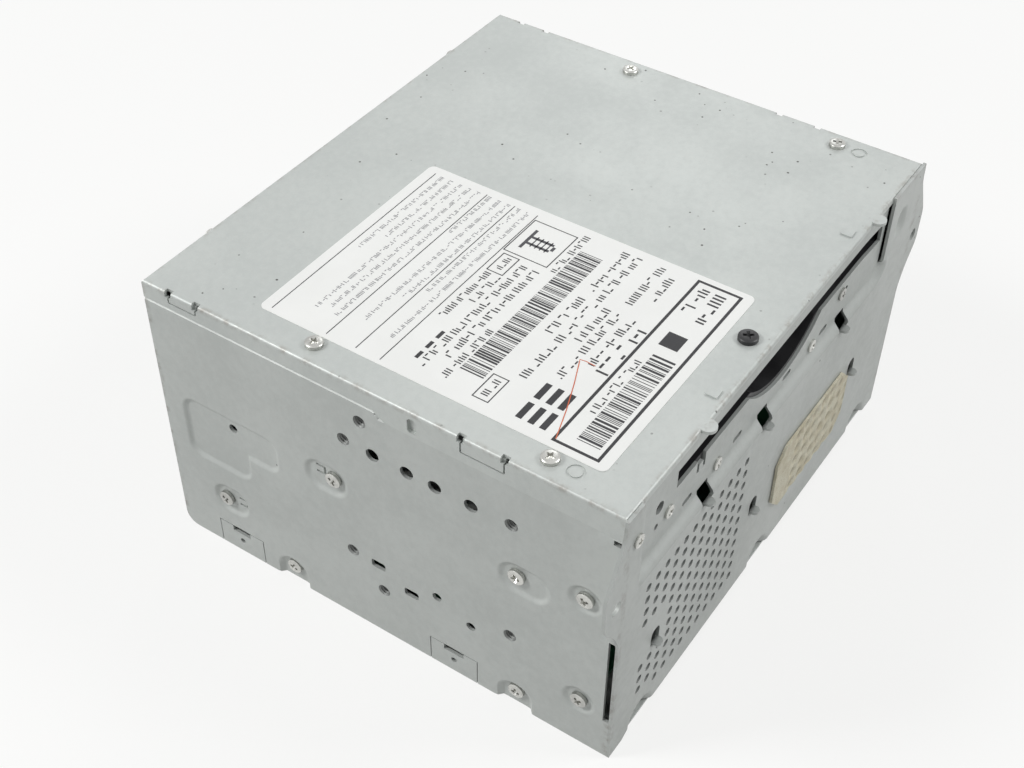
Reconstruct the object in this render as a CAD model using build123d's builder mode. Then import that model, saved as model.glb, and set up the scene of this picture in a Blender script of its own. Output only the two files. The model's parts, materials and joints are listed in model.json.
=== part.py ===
from build123d import *
import math
import os

os.makedirs("parts", exist_ok=True)

# A double-height dashboard audio chassis: a sheet steel box with a disc slot in its front plate,
# a slot-loading disc deck hung on rubber dampers, an amplifier board and a cooling fan.
# X is the width, -Y is the front, +Z is up. The origin is the middle of the underside.

# Steel box
body_width = 178.0
body_depth = 158.0
body_height = 100.0
sheet = 1.0
press_depth = 0.8
edge_press = 1.5
bend_r = 0.9
fit_gap = 0.02
cover_gap = 0.2
half_width = body_width / 2
front_y = -body_depth / 2
rear_y = body_depth / 2
wall_in = half_width - sheet
flange_out = wall_in - press_depth
under_cover = body_height - sheet

# Screws, as plain prisms with heads of two sizes. Small round holes have as few sides.
screw_head_r = 2.6
screw_head_h = 1.5
small_head_r = 2.1
small_head_h = 0.9
screw_shank_r = 1.4
screw_shank_length = 4.0
screw_hole_r = 1.5
head_sides = 12
shank_sides = 6
hole_sides = 12

# Heights of the disc, the deck under it and the shelves that carry the deck
disc_z = body_height - 12.0
deck_floor = disc_z - 15.0
shelf_top = deck_floor - 7.0

# Top cover
lip_drop_rear = 6.1
lip_drop_front = 8.7
lip_step_y = -1.9
lip_step_run = 3.9
lip_lap = 1.5
front_lip_drop = 2.0
rear_lip_drop = 7.0
cover_screw_x = 82.5
cover_screw_ys = (22.0, -53.0)
cover_ring_y = -60.5
ring_r = 2.6
ring_groove = 0.8
ring_groove_depth = 0.3
hook_tab_spans = ((-43.6, -30.2), (59.2, 69.2))
hook_relief = 2.4
hook_relief_depth = 1.6
hook_slit = 0.5
hook_tab_drops = (5.2, 3.6)
ring_sides = 12
tongue_xs = (-49.7, 54.7)
tongue_width = 5.0
tongue_reach = 3.0
cover_boss_xs = (43.3, -38.6)
cover_boss_y = -75.0
cover_boss_size = 3.4
cover_boss_rise = 0.5
black_screw_x = -14.7
black_screw_y = -72.5
black_head_r = 2.9
black_head_h = 1.6
lip_window_y = -14.9
lip_window_drop = 4.9
lip_window_width = 3.0
lip_window_height = 5.0
rear_screw_x = 60.0
rear_screw_drop = 3.6

# Side wall, given as seen on the left: distances along Y and up Z
rear_corner_r = 4.5
bracket_y = -18.5
bracket_z = 54.0
bracket_pitch_y = 55.0
bracket_pitch_z = 46.0
bracket_hole_r = 2.1
bracket_holes = [
    (bracket_y + a * bracket_pitch_y / 2, bracket_z + b * bracket_pitch_z / 2)
    for a in (-1, 1) for b in (-1, 1)
]
thread_collar = 1.1
thread_depth = 1.6
extra_threads = ((2.8, body_height - 13.0), (-1.7, 19.8))
row_hole_z = body_height - 23.6
row_hole_ys = (-0.9, -12.4, -21.6, -33.3)
row_hole_r = 2.2
small_holes = ((-21.1, 30.3), (-32.8, 25.3), (52.4, 55.6))
small_hole_r = 1.6
wall_slots = ((-0.2, 30.3), (-11.9, 25.3))
wall_slot_length = 5.0
wall_slot_width = 3.0
shelf_screw_z = shelf_top - 8.6
wall_screws = ((14.3, shelf_screw_z), (59.2, 22.3), (-47.7, shelf_screw_z), (-69.0, 62.5), (-69.0, 19.0))
wall_dimples = (
    (17.0, shelf_screw_z - 0.9, 15.6, 12.2),
    (57.2, 22.3, 14.0, 12.2),
    (-50.2, shelf_screw_z - 0.9, 16.7, 12.2),
    (-69.0, 62.5, 11.0, 11.0),
    (-69.0, 19.0, 11.0, 11.0),
)
dimple_corner = 3.4
dimple_taper = 40.0
edge_screws = ((-48.0, 6.0), (34.4, 6.0))
edge_dimple_length = 12.0
edge_dimple_top = 9.8
pad_points = (
    (71.5, 60.3), (71.5, 36.0), (46.4, 36.0), (46.4, 44.8), (38.0, 46.8), (34.8, 51.0), (34.8, 60.3)
)
lance_marks = ((19.1, shelf_screw_z + 1.0), (52.9, 23.1))
lance_size = 3.2
lance_slit = 0.6
bottom_tab_spans = ((-34.7, -18.3), (46.4, 63.7))
bottom_tab_z = 10.0
bottom_tab_notch = 7.0
bottom_tab_notch_depth = 2.0
bottom_tab_gap = 0.3
bottom_tab_hole_r = 1.0
bottom_lip_out = wall_in - edge_press
bottom_lip_span = (-75.0, 70.0)
bottom_lip_height = 11.0
front_notch_low = 16.0
front_notch_high = 51.0
front_notch_depth = 2.0
corner_notch_z = body_height - 9.2
corner_notch_size = 3.0
corner_notch_height = 1.8
top_flange_depth = 10.0
top_flange_length = 18.0
front_flange_reach = 6.0
front_flange_low = body_height - 19.0
front_flange_high = body_height - 5.0

# Front plate
panel_back = front_y
panel_front = front_y - sheet
step_depth = 2.0
strip_front = panel_front + step_depth
strip_back = strip_front + sheet
fold_high = disc_z - 15.9
fold_low = fold_high - 3.1
strip_left = -80.5
strip_right = 66.6
side_slit = 0.6
panel_base_z = 1.5
panel_foot_x = 82.0
panel_foot_run = 3.0
ear_points = ((89.0, 49.0), (92.0, 42.0), (97.6, 35.0), (97.8, 22.5), (90.2, 7.0), (89.6, 0.1))
ear_hole_x = 92.4
ear_hole_drop = 29.5
ear_hole_r = 2.2
slot_left = -60.8
slot_right = 64.2
slot_low = disc_z - 2.5
slot_high = disc_z + 3.7
finger_half = 22.5
finger_drop = 8.6
finger_sides = 64
catch_notch_x = -47.3
catch_notch = 4.6
catch_tongue = 2.2
catch_tongue_height = 2.6
grille_pitch = 5.0
grille_left = -75.0
grille_columns = 12
grille_top = 61.4
grille_rows = 11
grille_hole_r = 1.35
grille_hole_sides = 6
grille_hook_columns = (0, 1, 2)
grille_hook_rows = (4, 5, 6)
grille_corner_columns = (0, 1)
vent_pitch = 6.0
vent_columns = 5
vent_rows = 4
vent_hole_r = 1.9
vent_hole_sides = 6
upper_hooks = (-45.0, -10.0, 40.5)
upper_cut_low = fold_low - 2.2
upper_cut_high = fold_high + 1.0
upper_cut_width = 6.0
lower_hooks = ((-67.6, 30.2), (-9.7, 31.0), (57.0, 36.5))
lower_cut_width = 4.6
lower_cut_height = 6.2
hook_width = 3.8
hook_reach = 3.0
hook_corner = 1.3
front_dimple_xs = (-72.0, 1.0, 74.0)
front_dimple_r = 7.0
front_dimple_depth = 2.4
front_dimple_sides = 12
strip_screw_drops = ((-64.3, 7.9), (-37.1, 13.6), (20.7, 13.6), (39.0, 6.5))
strip_screws = [(x, disc_z - drop) for x, drop in strip_screw_drops]
wing_screw_x = -84.1
wing_screw_drop = 11.2
strip_slots = (-53.6, -25.3, 4.8, 28.7)
strip_slot_drop = 13.2
strip_slot_length = 5.0
strip_slot_width = 1.8
strip_holes = ((-69.6, disc_z - 1.9, 2.0), (-70.7, disc_z - 8.2, 1.0), (42.6, disc_z - 6.8, 1.0))
wing_dimple_x = 77.0
wing_dimple_drop = 14.0
wing_dimple_length = 10.0
wing_dimple_width = 7.0
front_flange_y = -62.0
front_flange_z = (12.0, fold_low - 1.0)

# Rear panel
rear_shoulder_z = body_height - lip_drop_rear
rear_flange_half = 50.0
rear_flange_depth = 7.0
rear_side_flange_y = 48.0
rear_side_flange_z = (14.0, 30.0)
panel_gap = 0.3

# Filter pad and label
pad_left = 3.8
pad_right = 53.4
pad_low = 17.6
pad_high = 43.8
pad_chamfer = 5.0
pad_thick = 1.2
label_left = -79.0
label_right = 1.8
label_front = -66.7
label_back = 44.6
label_corner_r = 2.0
label_thick = 0.15

# Disc deck
deck_x = 1.7
spindle_y = 2.0
deck_half = 72.0
deck_front = -69.8
deck_rear = 66.0
deck_flange_top = disc_z + 2.0
run_gap = 0.06
pin_r = 1.5
roller_y = -65.0
roller_z = disc_z - 4.5
roller_end_r = 4.3
roller_mid_r = 3.2
roller_sleeve_length = 56.0
roller_sleeve_gap = 4.0
bush_r = 3.0
bush_length = 3.0
sleeve_sides = 16
shaft_end = 0.5
gear_module = 0.8
roller_teeth = 16
idler_teeth = 24
pinion_teeth = 10
gear_width = 4.0
gear_offset = 1.6
idler_dy = 15.4
pinion_dy = 13.5
pin_head_r = 2.6
pin_head = 0.8
pin_head_gap = 0.2
motor_boss_r = 2.6
load_motor_r = 4.8
load_motor_length = 20.0
motor_shaft_r = 0.75
motor_shaft_grip = 5.0
motor_flat = 4.2
spindle_motor_r = 12.0
spindle_motor_top = disc_z - 5.0
turntable_r = 14.0
turntable_thick = 2.4
hub_r = 7.3
hub_taper = 1.0
hub_height = 2.0
spindle_r = 1.0
spindle_length = 7.6
rod_offset = 17.0
rod_z = deck_floor + 6.0
rod_end = -12.0
rod_post_half = 4.0
deck_lip_top = deck_floor + 7.0
deck_windows = (
    (-57.0, -11.0, -14.0, 15.0), (-55.0, -58.0, -14.0, -34.0),
    (22.0, -50.0, 50.0, -12.0), (22.0, 6.0, 57.0, 48.0),
)
deck_window_corner = 3.0
sled_length = 18.0
sled_half = 20.0
sled_low = rod_z - 2.8
sled_top = rod_z + 4.6
sled_travel = 34.0
sled_end_gap = 3.8
nut_width = 9.5
nut_top = rod_z + 3.0
screw_offset = 25.5
lead_screw_r = 1.3
sled_motor_r = 4.8
sled_motor_length = 16.0
lens_r = 3.2
lens_height = 2.6
lens_travel = 0.5
lens_low = disc_z - 4.6
lens_gap = 0.3
sled_chamfer = 0.6
arm_z = disc_z + 6.4
pivot_y = 60.0
pivot_z = disc_z + 4.6
arm_half = 28.0
arm_web_half = 10.0
arm_bar_y = (52.0, 64.0)
arm_flange_y = 55.0
arm_flange_low = disc_z + 2.0
arm_side_gap = 0.4
arm_hole_r = 6.5
arm_ear_y = (55.0, 65.0)
arm_ear_top = disc_z + 8.0
arm_corner = 4.0
arm_nose_r = 15.0
puck_r = 12.0
puck_neck_r = 6.0
puck_low = disc_z + 4.7
puck_flange = 1.5
puck_top_r = 9.0
puck_top_thick = 1.4
puck_play = 0.2
puck_recess_r = 8.2
puck_recess = 1.0
guide_low = deck_floor + 2.0
guide_front = strip_back
guide_rear = -70.4
guide_top = disc_z - 2.7
guide_half = 70.0
guide_wall = 2.0
guide_dip_half = 20.0
guide_dip = 7.0
guide_lug_half = 5.0
guide_lug_gap = 0.6
guide_pocket_xs = (-50.0, -38.0, 50.0, 60.0)
guide_pocket_width = 8.0
upper_guide_front = -76.5
upper_guide_rear = -52.0
upper_guide_low = disc_z + 4.0
upper_guide_high = disc_z + 7.5
upper_guide_plate = 2.0
upper_guide_foot = 6.0
upper_guide_bow_half = 50.0
upper_guide_bow = 12.0
damper_r = 5.0
damper_waist_r = 3.6
damper_x = 65.0
damper_ys = (-45.0, 15.0)
damper_sides = 8
bracket_span = (-56.0, 24.0)
bracket_flange_low = shelf_top - 16.0
bracket_reach = 60.0
bracket_waist = 74.0
bracket_waist_gap = 9.0

# Electronics
board_low = 14.0
board_thick = 1.6
board_top = board_low + board_thick
board_half_x = 80.0
board_front = -70.0
board_back = 72.0
standoff_r = 3.0
standoff_sides = 6
standoff_x = 74.0
standoff_ys = (-62.0, 52.0)
rear_panel_front = rear_y - 2 * sheet
harness_box = (-76.0, -34.0, 38.0)
harness_front = 60.0
harness_cavity = 12.0
harness_key = 5.0
harness_key_depth = 1.0
socket_wall = 2.0
aux_box = (-26.0, -8.0, 28.0)
aux_front = 64.0
aux_cavity = 8.0
pin_pitch = 4.4
socket_pin = 0.9
harness_pin_length = 6.0
aux_pin_length = 3.5
tuner_box = (-2.0, 24.0, 34.0)
tuner_depth = 26.0
tuner_chamfer = 0.8
antenna_x = 11.0
antenna_z = 25.0
antenna_bore_r = 4.7
antenna_outer_r = 6.0
antenna_length = 12.0
antenna_floor = 3.0
antenna_contact_r = 0.8
fan_x = 56.0
fan_z = 43.0
fan_size = 40.0
fan_depth = 10.0
fan_bore_r = 18.6
fan_hub_r = 9.0
fan_tip_r = 17.6
fan_blades = 7
fan_blade_thick = 1.2
fan_blade_pitch = 40.0
fan_back = 2.0
fan_strut = 3.0
fan_corner = 3.0
fan_spindle_r = 1.0
fan_hub_gap = 0.3
fan_rotor_depth = 7.2
fan_hole_pitch = 32.0
fan_slot_rings = (17.5, 13.2, 8.9)
fan_slot_width = 2.6
fan_slot_bar = 3.2
fan_slot_sides = 16
sink_left = 46.0
sink_right = 70.0
sink_front = 0.0
sink_back = 54.0
sink_top = 50.0
sink_base = 4.0
sink_fins = 7
fin_thick = 1.6
chip_thick = 4.5
chip_y = (18.0, 44.0)
chip_z = (19.0, 37.0)
chip_leg_pitch = 3.4
chip_legs = 7
chip_leg = 0.8
capacitor_spots = ((-4.0, 4.0), (14.0, 4.0), (-4.0, 22.0))
capacitor_r = 7.0
capacitor_height = 26.0
capacitor_sides = 12
shield_left = -66.0
shield_right = -20.0
shield_front = -50.0
shield_back = 0.0
shield_height = 6.0
shield_chamfer = 0.6
ribbon_x = -40.0
ribbon_width = 20.0
ribbon_thick = 0.4
ribbon_board_y = 12.0
ribbon_deck_y = 44.0
ribbon_bend_r = 5.0
ribbon_middle_z = (board_top + deck_floor) / 2
plug_height = 5.0
plug_depth = 5.0
plug_side = 1.0


def rect(low_u, low_v, high_u, high_v, mode=Mode.ADD):
    """A rectangle in the open sketch, given by two opposite corners."""
    with Locations(((low_u + high_u) / 2, (low_v + high_v) / 2)):
        Rectangle(abs(high_u - low_u), abs(high_v - low_v), mode=mode)


def block(low, high, mode=Mode.ADD):
    """A box in the open part, given by two opposite corners."""
    middle = tuple((a + b) / 2 for a, b in zip(low, high))
    with Locations(middle):
        Box(*[abs(b - a) for a, b in zip(low, high)], mode=mode)


def save(part, label):
    part.label = label
    export_step(part, f"parts/{label}.step")


def screw(head_r, head_h):
    """A pan head screw whose head stands on the plane that its shank goes down from."""
    with BuildPart() as fastener:
        with BuildSketch():
            RegularPolygon(head_r, head_sides)
        extrude(amount=head_h)
        with BuildSketch():
            RegularPolygon(screw_shank_r, shank_sides)
        extrude(amount=-screw_shank_length)
    return fastener.part


def screw_group(label, fastener, places):
    """Identical screws as separate solids."""
    with BuildPart() as group:
        with Locations(*places):
            add(fastener)
    save(group.part, label)


def pressed(length, height, corner):
    """A rectangle with cut corners in the open sketch, the foot of a pressed dimple."""
    half_u = length / 2
    half_v = height / 2
    Polygon(
        (-half_u, corner - half_v), (corner - half_u, -half_v), (half_u - corner, -half_v),
        (half_u, corner - half_v), (half_u, half_v - corner), (half_u - corner, half_v),
        (corner - half_u, half_v), (-half_u, half_v - corner), align=None,
    )


def gear_outline(teeth, phase):
    """Points of a spur gear with straight flanks, its first tooth at the angle phase in radians."""
    pitch_r = gear_module * teeth / 2
    tip_r = pitch_r + 0.85 * gear_module
    root_r = pitch_r - 1.15 * gear_module
    step = 2 * math.pi / teeth
    points = []
    for tooth in range(teeth):
        middle = phase + tooth * step
        for radius, share in ((root_r, -0.34), (tip_r, -0.12), (tip_r, 0.12), (root_r, 0.34)):
            angle = middle + share * step
            points.append((radius * math.cos(angle), radius * math.sin(angle)))
    return points


def meshed_phase(lead_teeth, lead_phase, next_teeth, direction):
    """Phase that puts a gap of the next gear on the lead gear's tooth, along the line of centres."""
    lead_step = 2 * math.pi / lead_teeth
    offset = (lead_phase - direction + lead_step / 2) % lead_step - lead_step / 2
    return direction + math.pi - offset * lead_teeth / next_teeth + math.pi / next_teeth


# Screws

wall_screw = screw(screw_head_r, screw_head_h)
small_screw = screw(small_head_r, small_head_h)
stop_screw = screw(black_head_r, black_head_h)

left_face = Plane(origin=(-half_width + press_depth, 0, 0), x_dir=(0, -1, 0), z_dir=(-1, 0, 0))
right_face = Plane(origin=(half_width - press_depth, 0, 0), x_dir=(0, 1, 0), z_dir=(1, 0, 0))


def on_left(points, depth=0.0):
    return [left_face.offset(-depth) * Pos(-y, z, 0) for y, z in points]


def on_right(points, depth=0.0):
    return [right_face.offset(-depth) * Pos(y, z, 0) for y, z in points]


def on_front(points, face_y):
    return [Plane.XZ.offset(-face_y) * Pos(x, z, 0) for x, z in points]


def on_top(points):
    return [Pos(x, y, body_height) for x, y in points]


wing_screw_z = body_height - wing_screw_drop
rear_screw_z = body_height - rear_screw_drop
rear_screw_spots = ((-rear_screw_x, rear_screw_z), (rear_screw_x, rear_screw_z))
cover_screw_spots = [(side * cover_screw_x, y) for side in (-1, 1) for y in cover_screw_ys]
edge_depth = edge_press - press_depth
screw_group("top_cover_screws", wall_screw, on_top(cover_screw_spots))
screw_group("deck_stop_screw", stop_screw, on_top([(black_screw_x, black_screw_y)]))
screw_group("left_wall_screws", wall_screw, on_left(wall_screws))
screw_group("right_wall_screws", wall_screw, on_right(wall_screws))
edge_screw_places = on_left(edge_screws, edge_depth) + on_right(edge_screws, edge_depth)
screw_group("bottom_edge_screws", wall_screw, edge_screw_places)
screw_group("disc_guide_screws", small_screw, on_front(strip_screws, strip_front))
screw_group("front_wing_screw", small_screw, on_front([(wing_screw_x, wing_screw_z)], panel_front))

# Side walls

skin_rear_z = body_height - lip_drop_rear
skin_front_z = body_height - lip_drop_front
step_end_y = lip_step_y - lip_step_run
wall_face = Plane.YZ.offset(-half_width)
wall_back = Plane.YZ.offset(-wall_in)

with BuildPart() as left_side_wall:
    with BuildSketch(wall_face) as skin:
        Polygon(
            (front_y, 0), (rear_y, 0), (rear_y, skin_rear_z), (lip_step_y, skin_rear_z),
            (step_end_y, skin_front_z), (front_y, skin_front_z), align=None,
        )
        fillet(skin.vertices().group_by(Axis.Y)[0].sort_by(Axis.X)[-1], rear_corner_r)
    extrude(amount=sheet)
    with BuildSketch(wall_back):
        Polygon(
            (front_y, skin_front_z - lip_lap), (step_end_y, skin_front_z - lip_lap),
            (lip_step_y, skin_rear_z - lip_lap), (rear_y - sheet, skin_rear_z - lip_lap),
            (rear_y - sheet, under_cover), (front_y, under_cover), align=None,
        )
    extrude(amount=sheet)
    with BuildSketch(Plane.XY.offset(under_cover - sheet)):
        with Locations(*[(-wall_in + top_flange_depth / 2, y) for y in cover_screw_ys]):
            Rectangle(top_flange_depth, top_flange_length)
    extrude(amount=sheet)
    with BuildSketch(Plane.XZ.offset(-front_y - sheet)):
        rect(-wall_in, front_flange_low, -wall_in + front_flange_reach, front_flange_high)
    extrude(amount=sheet)
    with BuildSketch(wall_back):
        with Locations(*bracket_holes, *extra_threads):
            RegularPolygon(bracket_hole_r + thread_collar, hole_sides)
    extrude(amount=thread_depth)
    for face, mode in ((wall_back, Mode.ADD), (wall_face, Mode.SUBTRACT)):
        for y, z, length, height in wall_dimples:
            with BuildSketch(face):
                with Locations((y, z)):
                    pressed(length, height, dimple_corner)
            extrude(amount=press_depth, taper=dimple_taper, mode=mode)
        for y, z in edge_screws:
            with BuildSketch(face):
                with Locations((y, 0)):
                    pressed(edge_dimple_length, 2 * edge_dimple_top, dimple_corner)
            extrude(amount=edge_press, taper=dimple_taper, mode=mode)
        with BuildSketch(face) as pressed_pad:
            Polygon(*pad_points, align=None)
            chamfer(pressed_pad.vertices().sort_by(Axis.X)[-2:], dimple_corner)
        extrude(amount=press_depth, taper=dimple_taper, mode=mode)
    with BuildSketch(wall_face):
        with Locations(*bracket_holes):
            Circle(bracket_hole_r)
        with Locations(*extra_threads):
            RegularPolygon(bracket_hole_r, hole_sides)
        with Locations(*[(y, row_hole_z) for y in row_hole_ys]):
            RegularPolygon(row_hole_r, hole_sides)
        with Locations(*small_holes):
            RegularPolygon(small_hole_r, hole_sides)
        with Locations(*wall_slots):
            pressed(wall_slot_length, wall_slot_width, wall_slot_width / 4)
        with Locations(*wall_screws, *edge_screws):
            RegularPolygon(screw_hole_r, hole_sides)
        for low_y, high_y in bottom_tab_spans:
            rect(low_y - bottom_tab_gap, -sheet, high_y + bottom_tab_gap, bottom_tab_z + bottom_tab_gap)
        rect(front_y - sheet, front_notch_low, front_y + front_notch_depth, front_notch_high)
        corner_notch_low = corner_notch_z - corner_notch_height
        rect(front_y - sheet, corner_notch_low, front_y + corner_notch_size, corner_notch_z)
        with Locations(*lance_marks):
            Rectangle(lance_size, lance_size)
            with Locations((lance_slit, 0)):
                Rectangle(lance_size, lance_size - 2 * lance_slit, mode=Mode.SUBTRACT)
    extrude(amount=sheet + edge_press + thread_depth, mode=Mode.SUBTRACT)
    with BuildSketch(Plane.XY.offset(under_cover)):
        with Locations(*[(-cover_screw_x, y) for y in cover_screw_ys]):
            RegularPolygon(screw_hole_r, hole_sides)
    extrude(amount=-sheet, mode=Mode.SUBTRACT)
    with BuildSketch(Plane.XZ.offset(-front_y)):
        with Locations((wing_screw_x, wing_screw_z)):
            RegularPolygon(screw_hole_r, hole_sides)
    extrude(amount=-2 * sheet, mode=Mode.SUBTRACT)
    split(bisect_by=Plane.XY, keep=Keep.TOP)
save(left_side_wall.part, "left_side_wall")

with BuildPart() as right_side_wall:
    mirror(left_side_wall.part, about=Plane.YZ)
save(right_side_wall.part, "right_side_wall")

# Top cover

with BuildPart() as top_cover:
    with BuildSketch(Plane.XY.offset(under_cover)):
        Rectangle(body_width, body_depth)
    extrude(amount=sheet)
    for side in (-1, 1):
        with BuildSketch(Plane.YZ.offset(side * half_width)):
            Polygon(
                (front_y, skin_front_z + cover_gap), (step_end_y, skin_front_z + cover_gap),
                (lip_step_y, skin_rear_z + cover_gap), (rear_y, skin_rear_z + cover_gap),
                (rear_y, under_cover), (front_y, under_cover), align=None,
            )
        extrude(amount=-side * sheet)
    end_lip_x = wall_in - sheet
    block((-end_lip_x, front_y, body_height - front_lip_drop), (end_lip_x, front_y + sheet, under_cover))
    block((-end_lip_x, rear_y - sheet, body_height - rear_lip_drop), (end_lip_x, rear_y, under_cover))
    fillet(top_cover.faces().sort_by(Axis.Z)[-1].edges(), bend_r)
    for x in tongue_xs:
        block(
            (x - tongue_width / 2 - sheet, front_y - sheet, body_height - front_lip_drop),
            (x + tongue_width / 2 + sheet, front_y + sheet, under_cover),
            mode=Mode.SUBTRACT,
        )
    with BuildSketch(Plane.XY.offset(under_cover)):
        with Locations(*[(x, front_y - tongue_reach + tongue_width / 2) for x in tongue_xs]):
            Circle(tongue_width / 2)
    extrude(amount=sheet)
    for side in (-1, 1):
        for low_y, high_y in hook_tab_spans:
            for end_y in (low_y, high_y):
                block(
                    (side * (half_width - hook_relief_depth), end_y - hook_relief / 2, under_cover - sheet),
                    (side * (half_width + sheet), end_y + hook_relief / 2, body_height + sheet),
                    mode=Mode.SUBTRACT,
                )
        for (low_y, high_y), drop in zip(hook_tab_spans, hook_tab_drops):
            slit_z = body_height - drop
            for end_y in (low_y, high_y):
                block(
                    (side * (wall_in - sheet), end_y - hook_slit / 2, slit_z),
                    (side * (half_width + sheet), end_y + hook_slit / 2, under_cover),
                    mode=Mode.SUBTRACT,
                )
            block(
                (side * (wall_in - sheet), low_y, slit_z - hook_slit / 2),
                (side * (half_width + sheet), high_y, slit_z + hook_slit / 2),
                mode=Mode.SUBTRACT,
            )
        with BuildSketch(Plane.YZ.offset(side * half_width)):
            with Locations((lip_window_y, body_height - lip_window_drop)):
                pressed(lip_window_width, lip_window_height, lip_window_width / 4)
        extrude(amount=-side * sheet, mode=Mode.SUBTRACT)
    with BuildSketch(Plane.XY.offset(body_height)):
        with Locations(*[(side * cover_screw_x, cover_ring_y) for side in (-1, 1)]):
            RegularPolygon(ring_r, ring_sides)
            RegularPolygon(ring_r - ring_groove, ring_sides, mode=Mode.SUBTRACT)
    extrude(amount=-ring_groove_depth, mode=Mode.SUBTRACT)
    with Locations(*[(x, cover_boss_y, body_height + cover_boss_rise / 2) for x in cover_boss_xs]):
        Box(cover_boss_size, cover_boss_size, cover_boss_rise)
    with Locations(*[(x, cover_boss_y, under_cover + cover_boss_rise / 2) for x in cover_boss_xs]):
        Box(cover_boss_size, cover_boss_size, cover_boss_rise, mode=Mode.SUBTRACT)
    with BuildSketch(Plane.XY.offset(body_height)):
        with Locations(*cover_screw_spots, (black_screw_x, black_screw_y)):
            RegularPolygon(screw_hole_r, hole_sides)
    extrude(amount=-2 * sheet, mode=Mode.SUBTRACT)
    with BuildSketch(Plane.XZ.offset(-rear_y)):
        with Locations(*rear_screw_spots):
            RegularPolygon(screw_hole_r, hole_sides)
    extrude(amount=2 * sheet, mode=Mode.SUBTRACT)
save(top_cover.part, "top_cover")

# Front plate

right_ear = [(x, body_height - drop) for x, drop in ear_points]
left_ear = [(-x, z) for x, z in reversed(right_ear)]
ear_hole_z = body_height - ear_hole_drop
finger_r = (finger_half ** 2 + finger_drop ** 2) / (2 * finger_drop)
strip_top = under_cover - fit_gap

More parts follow.
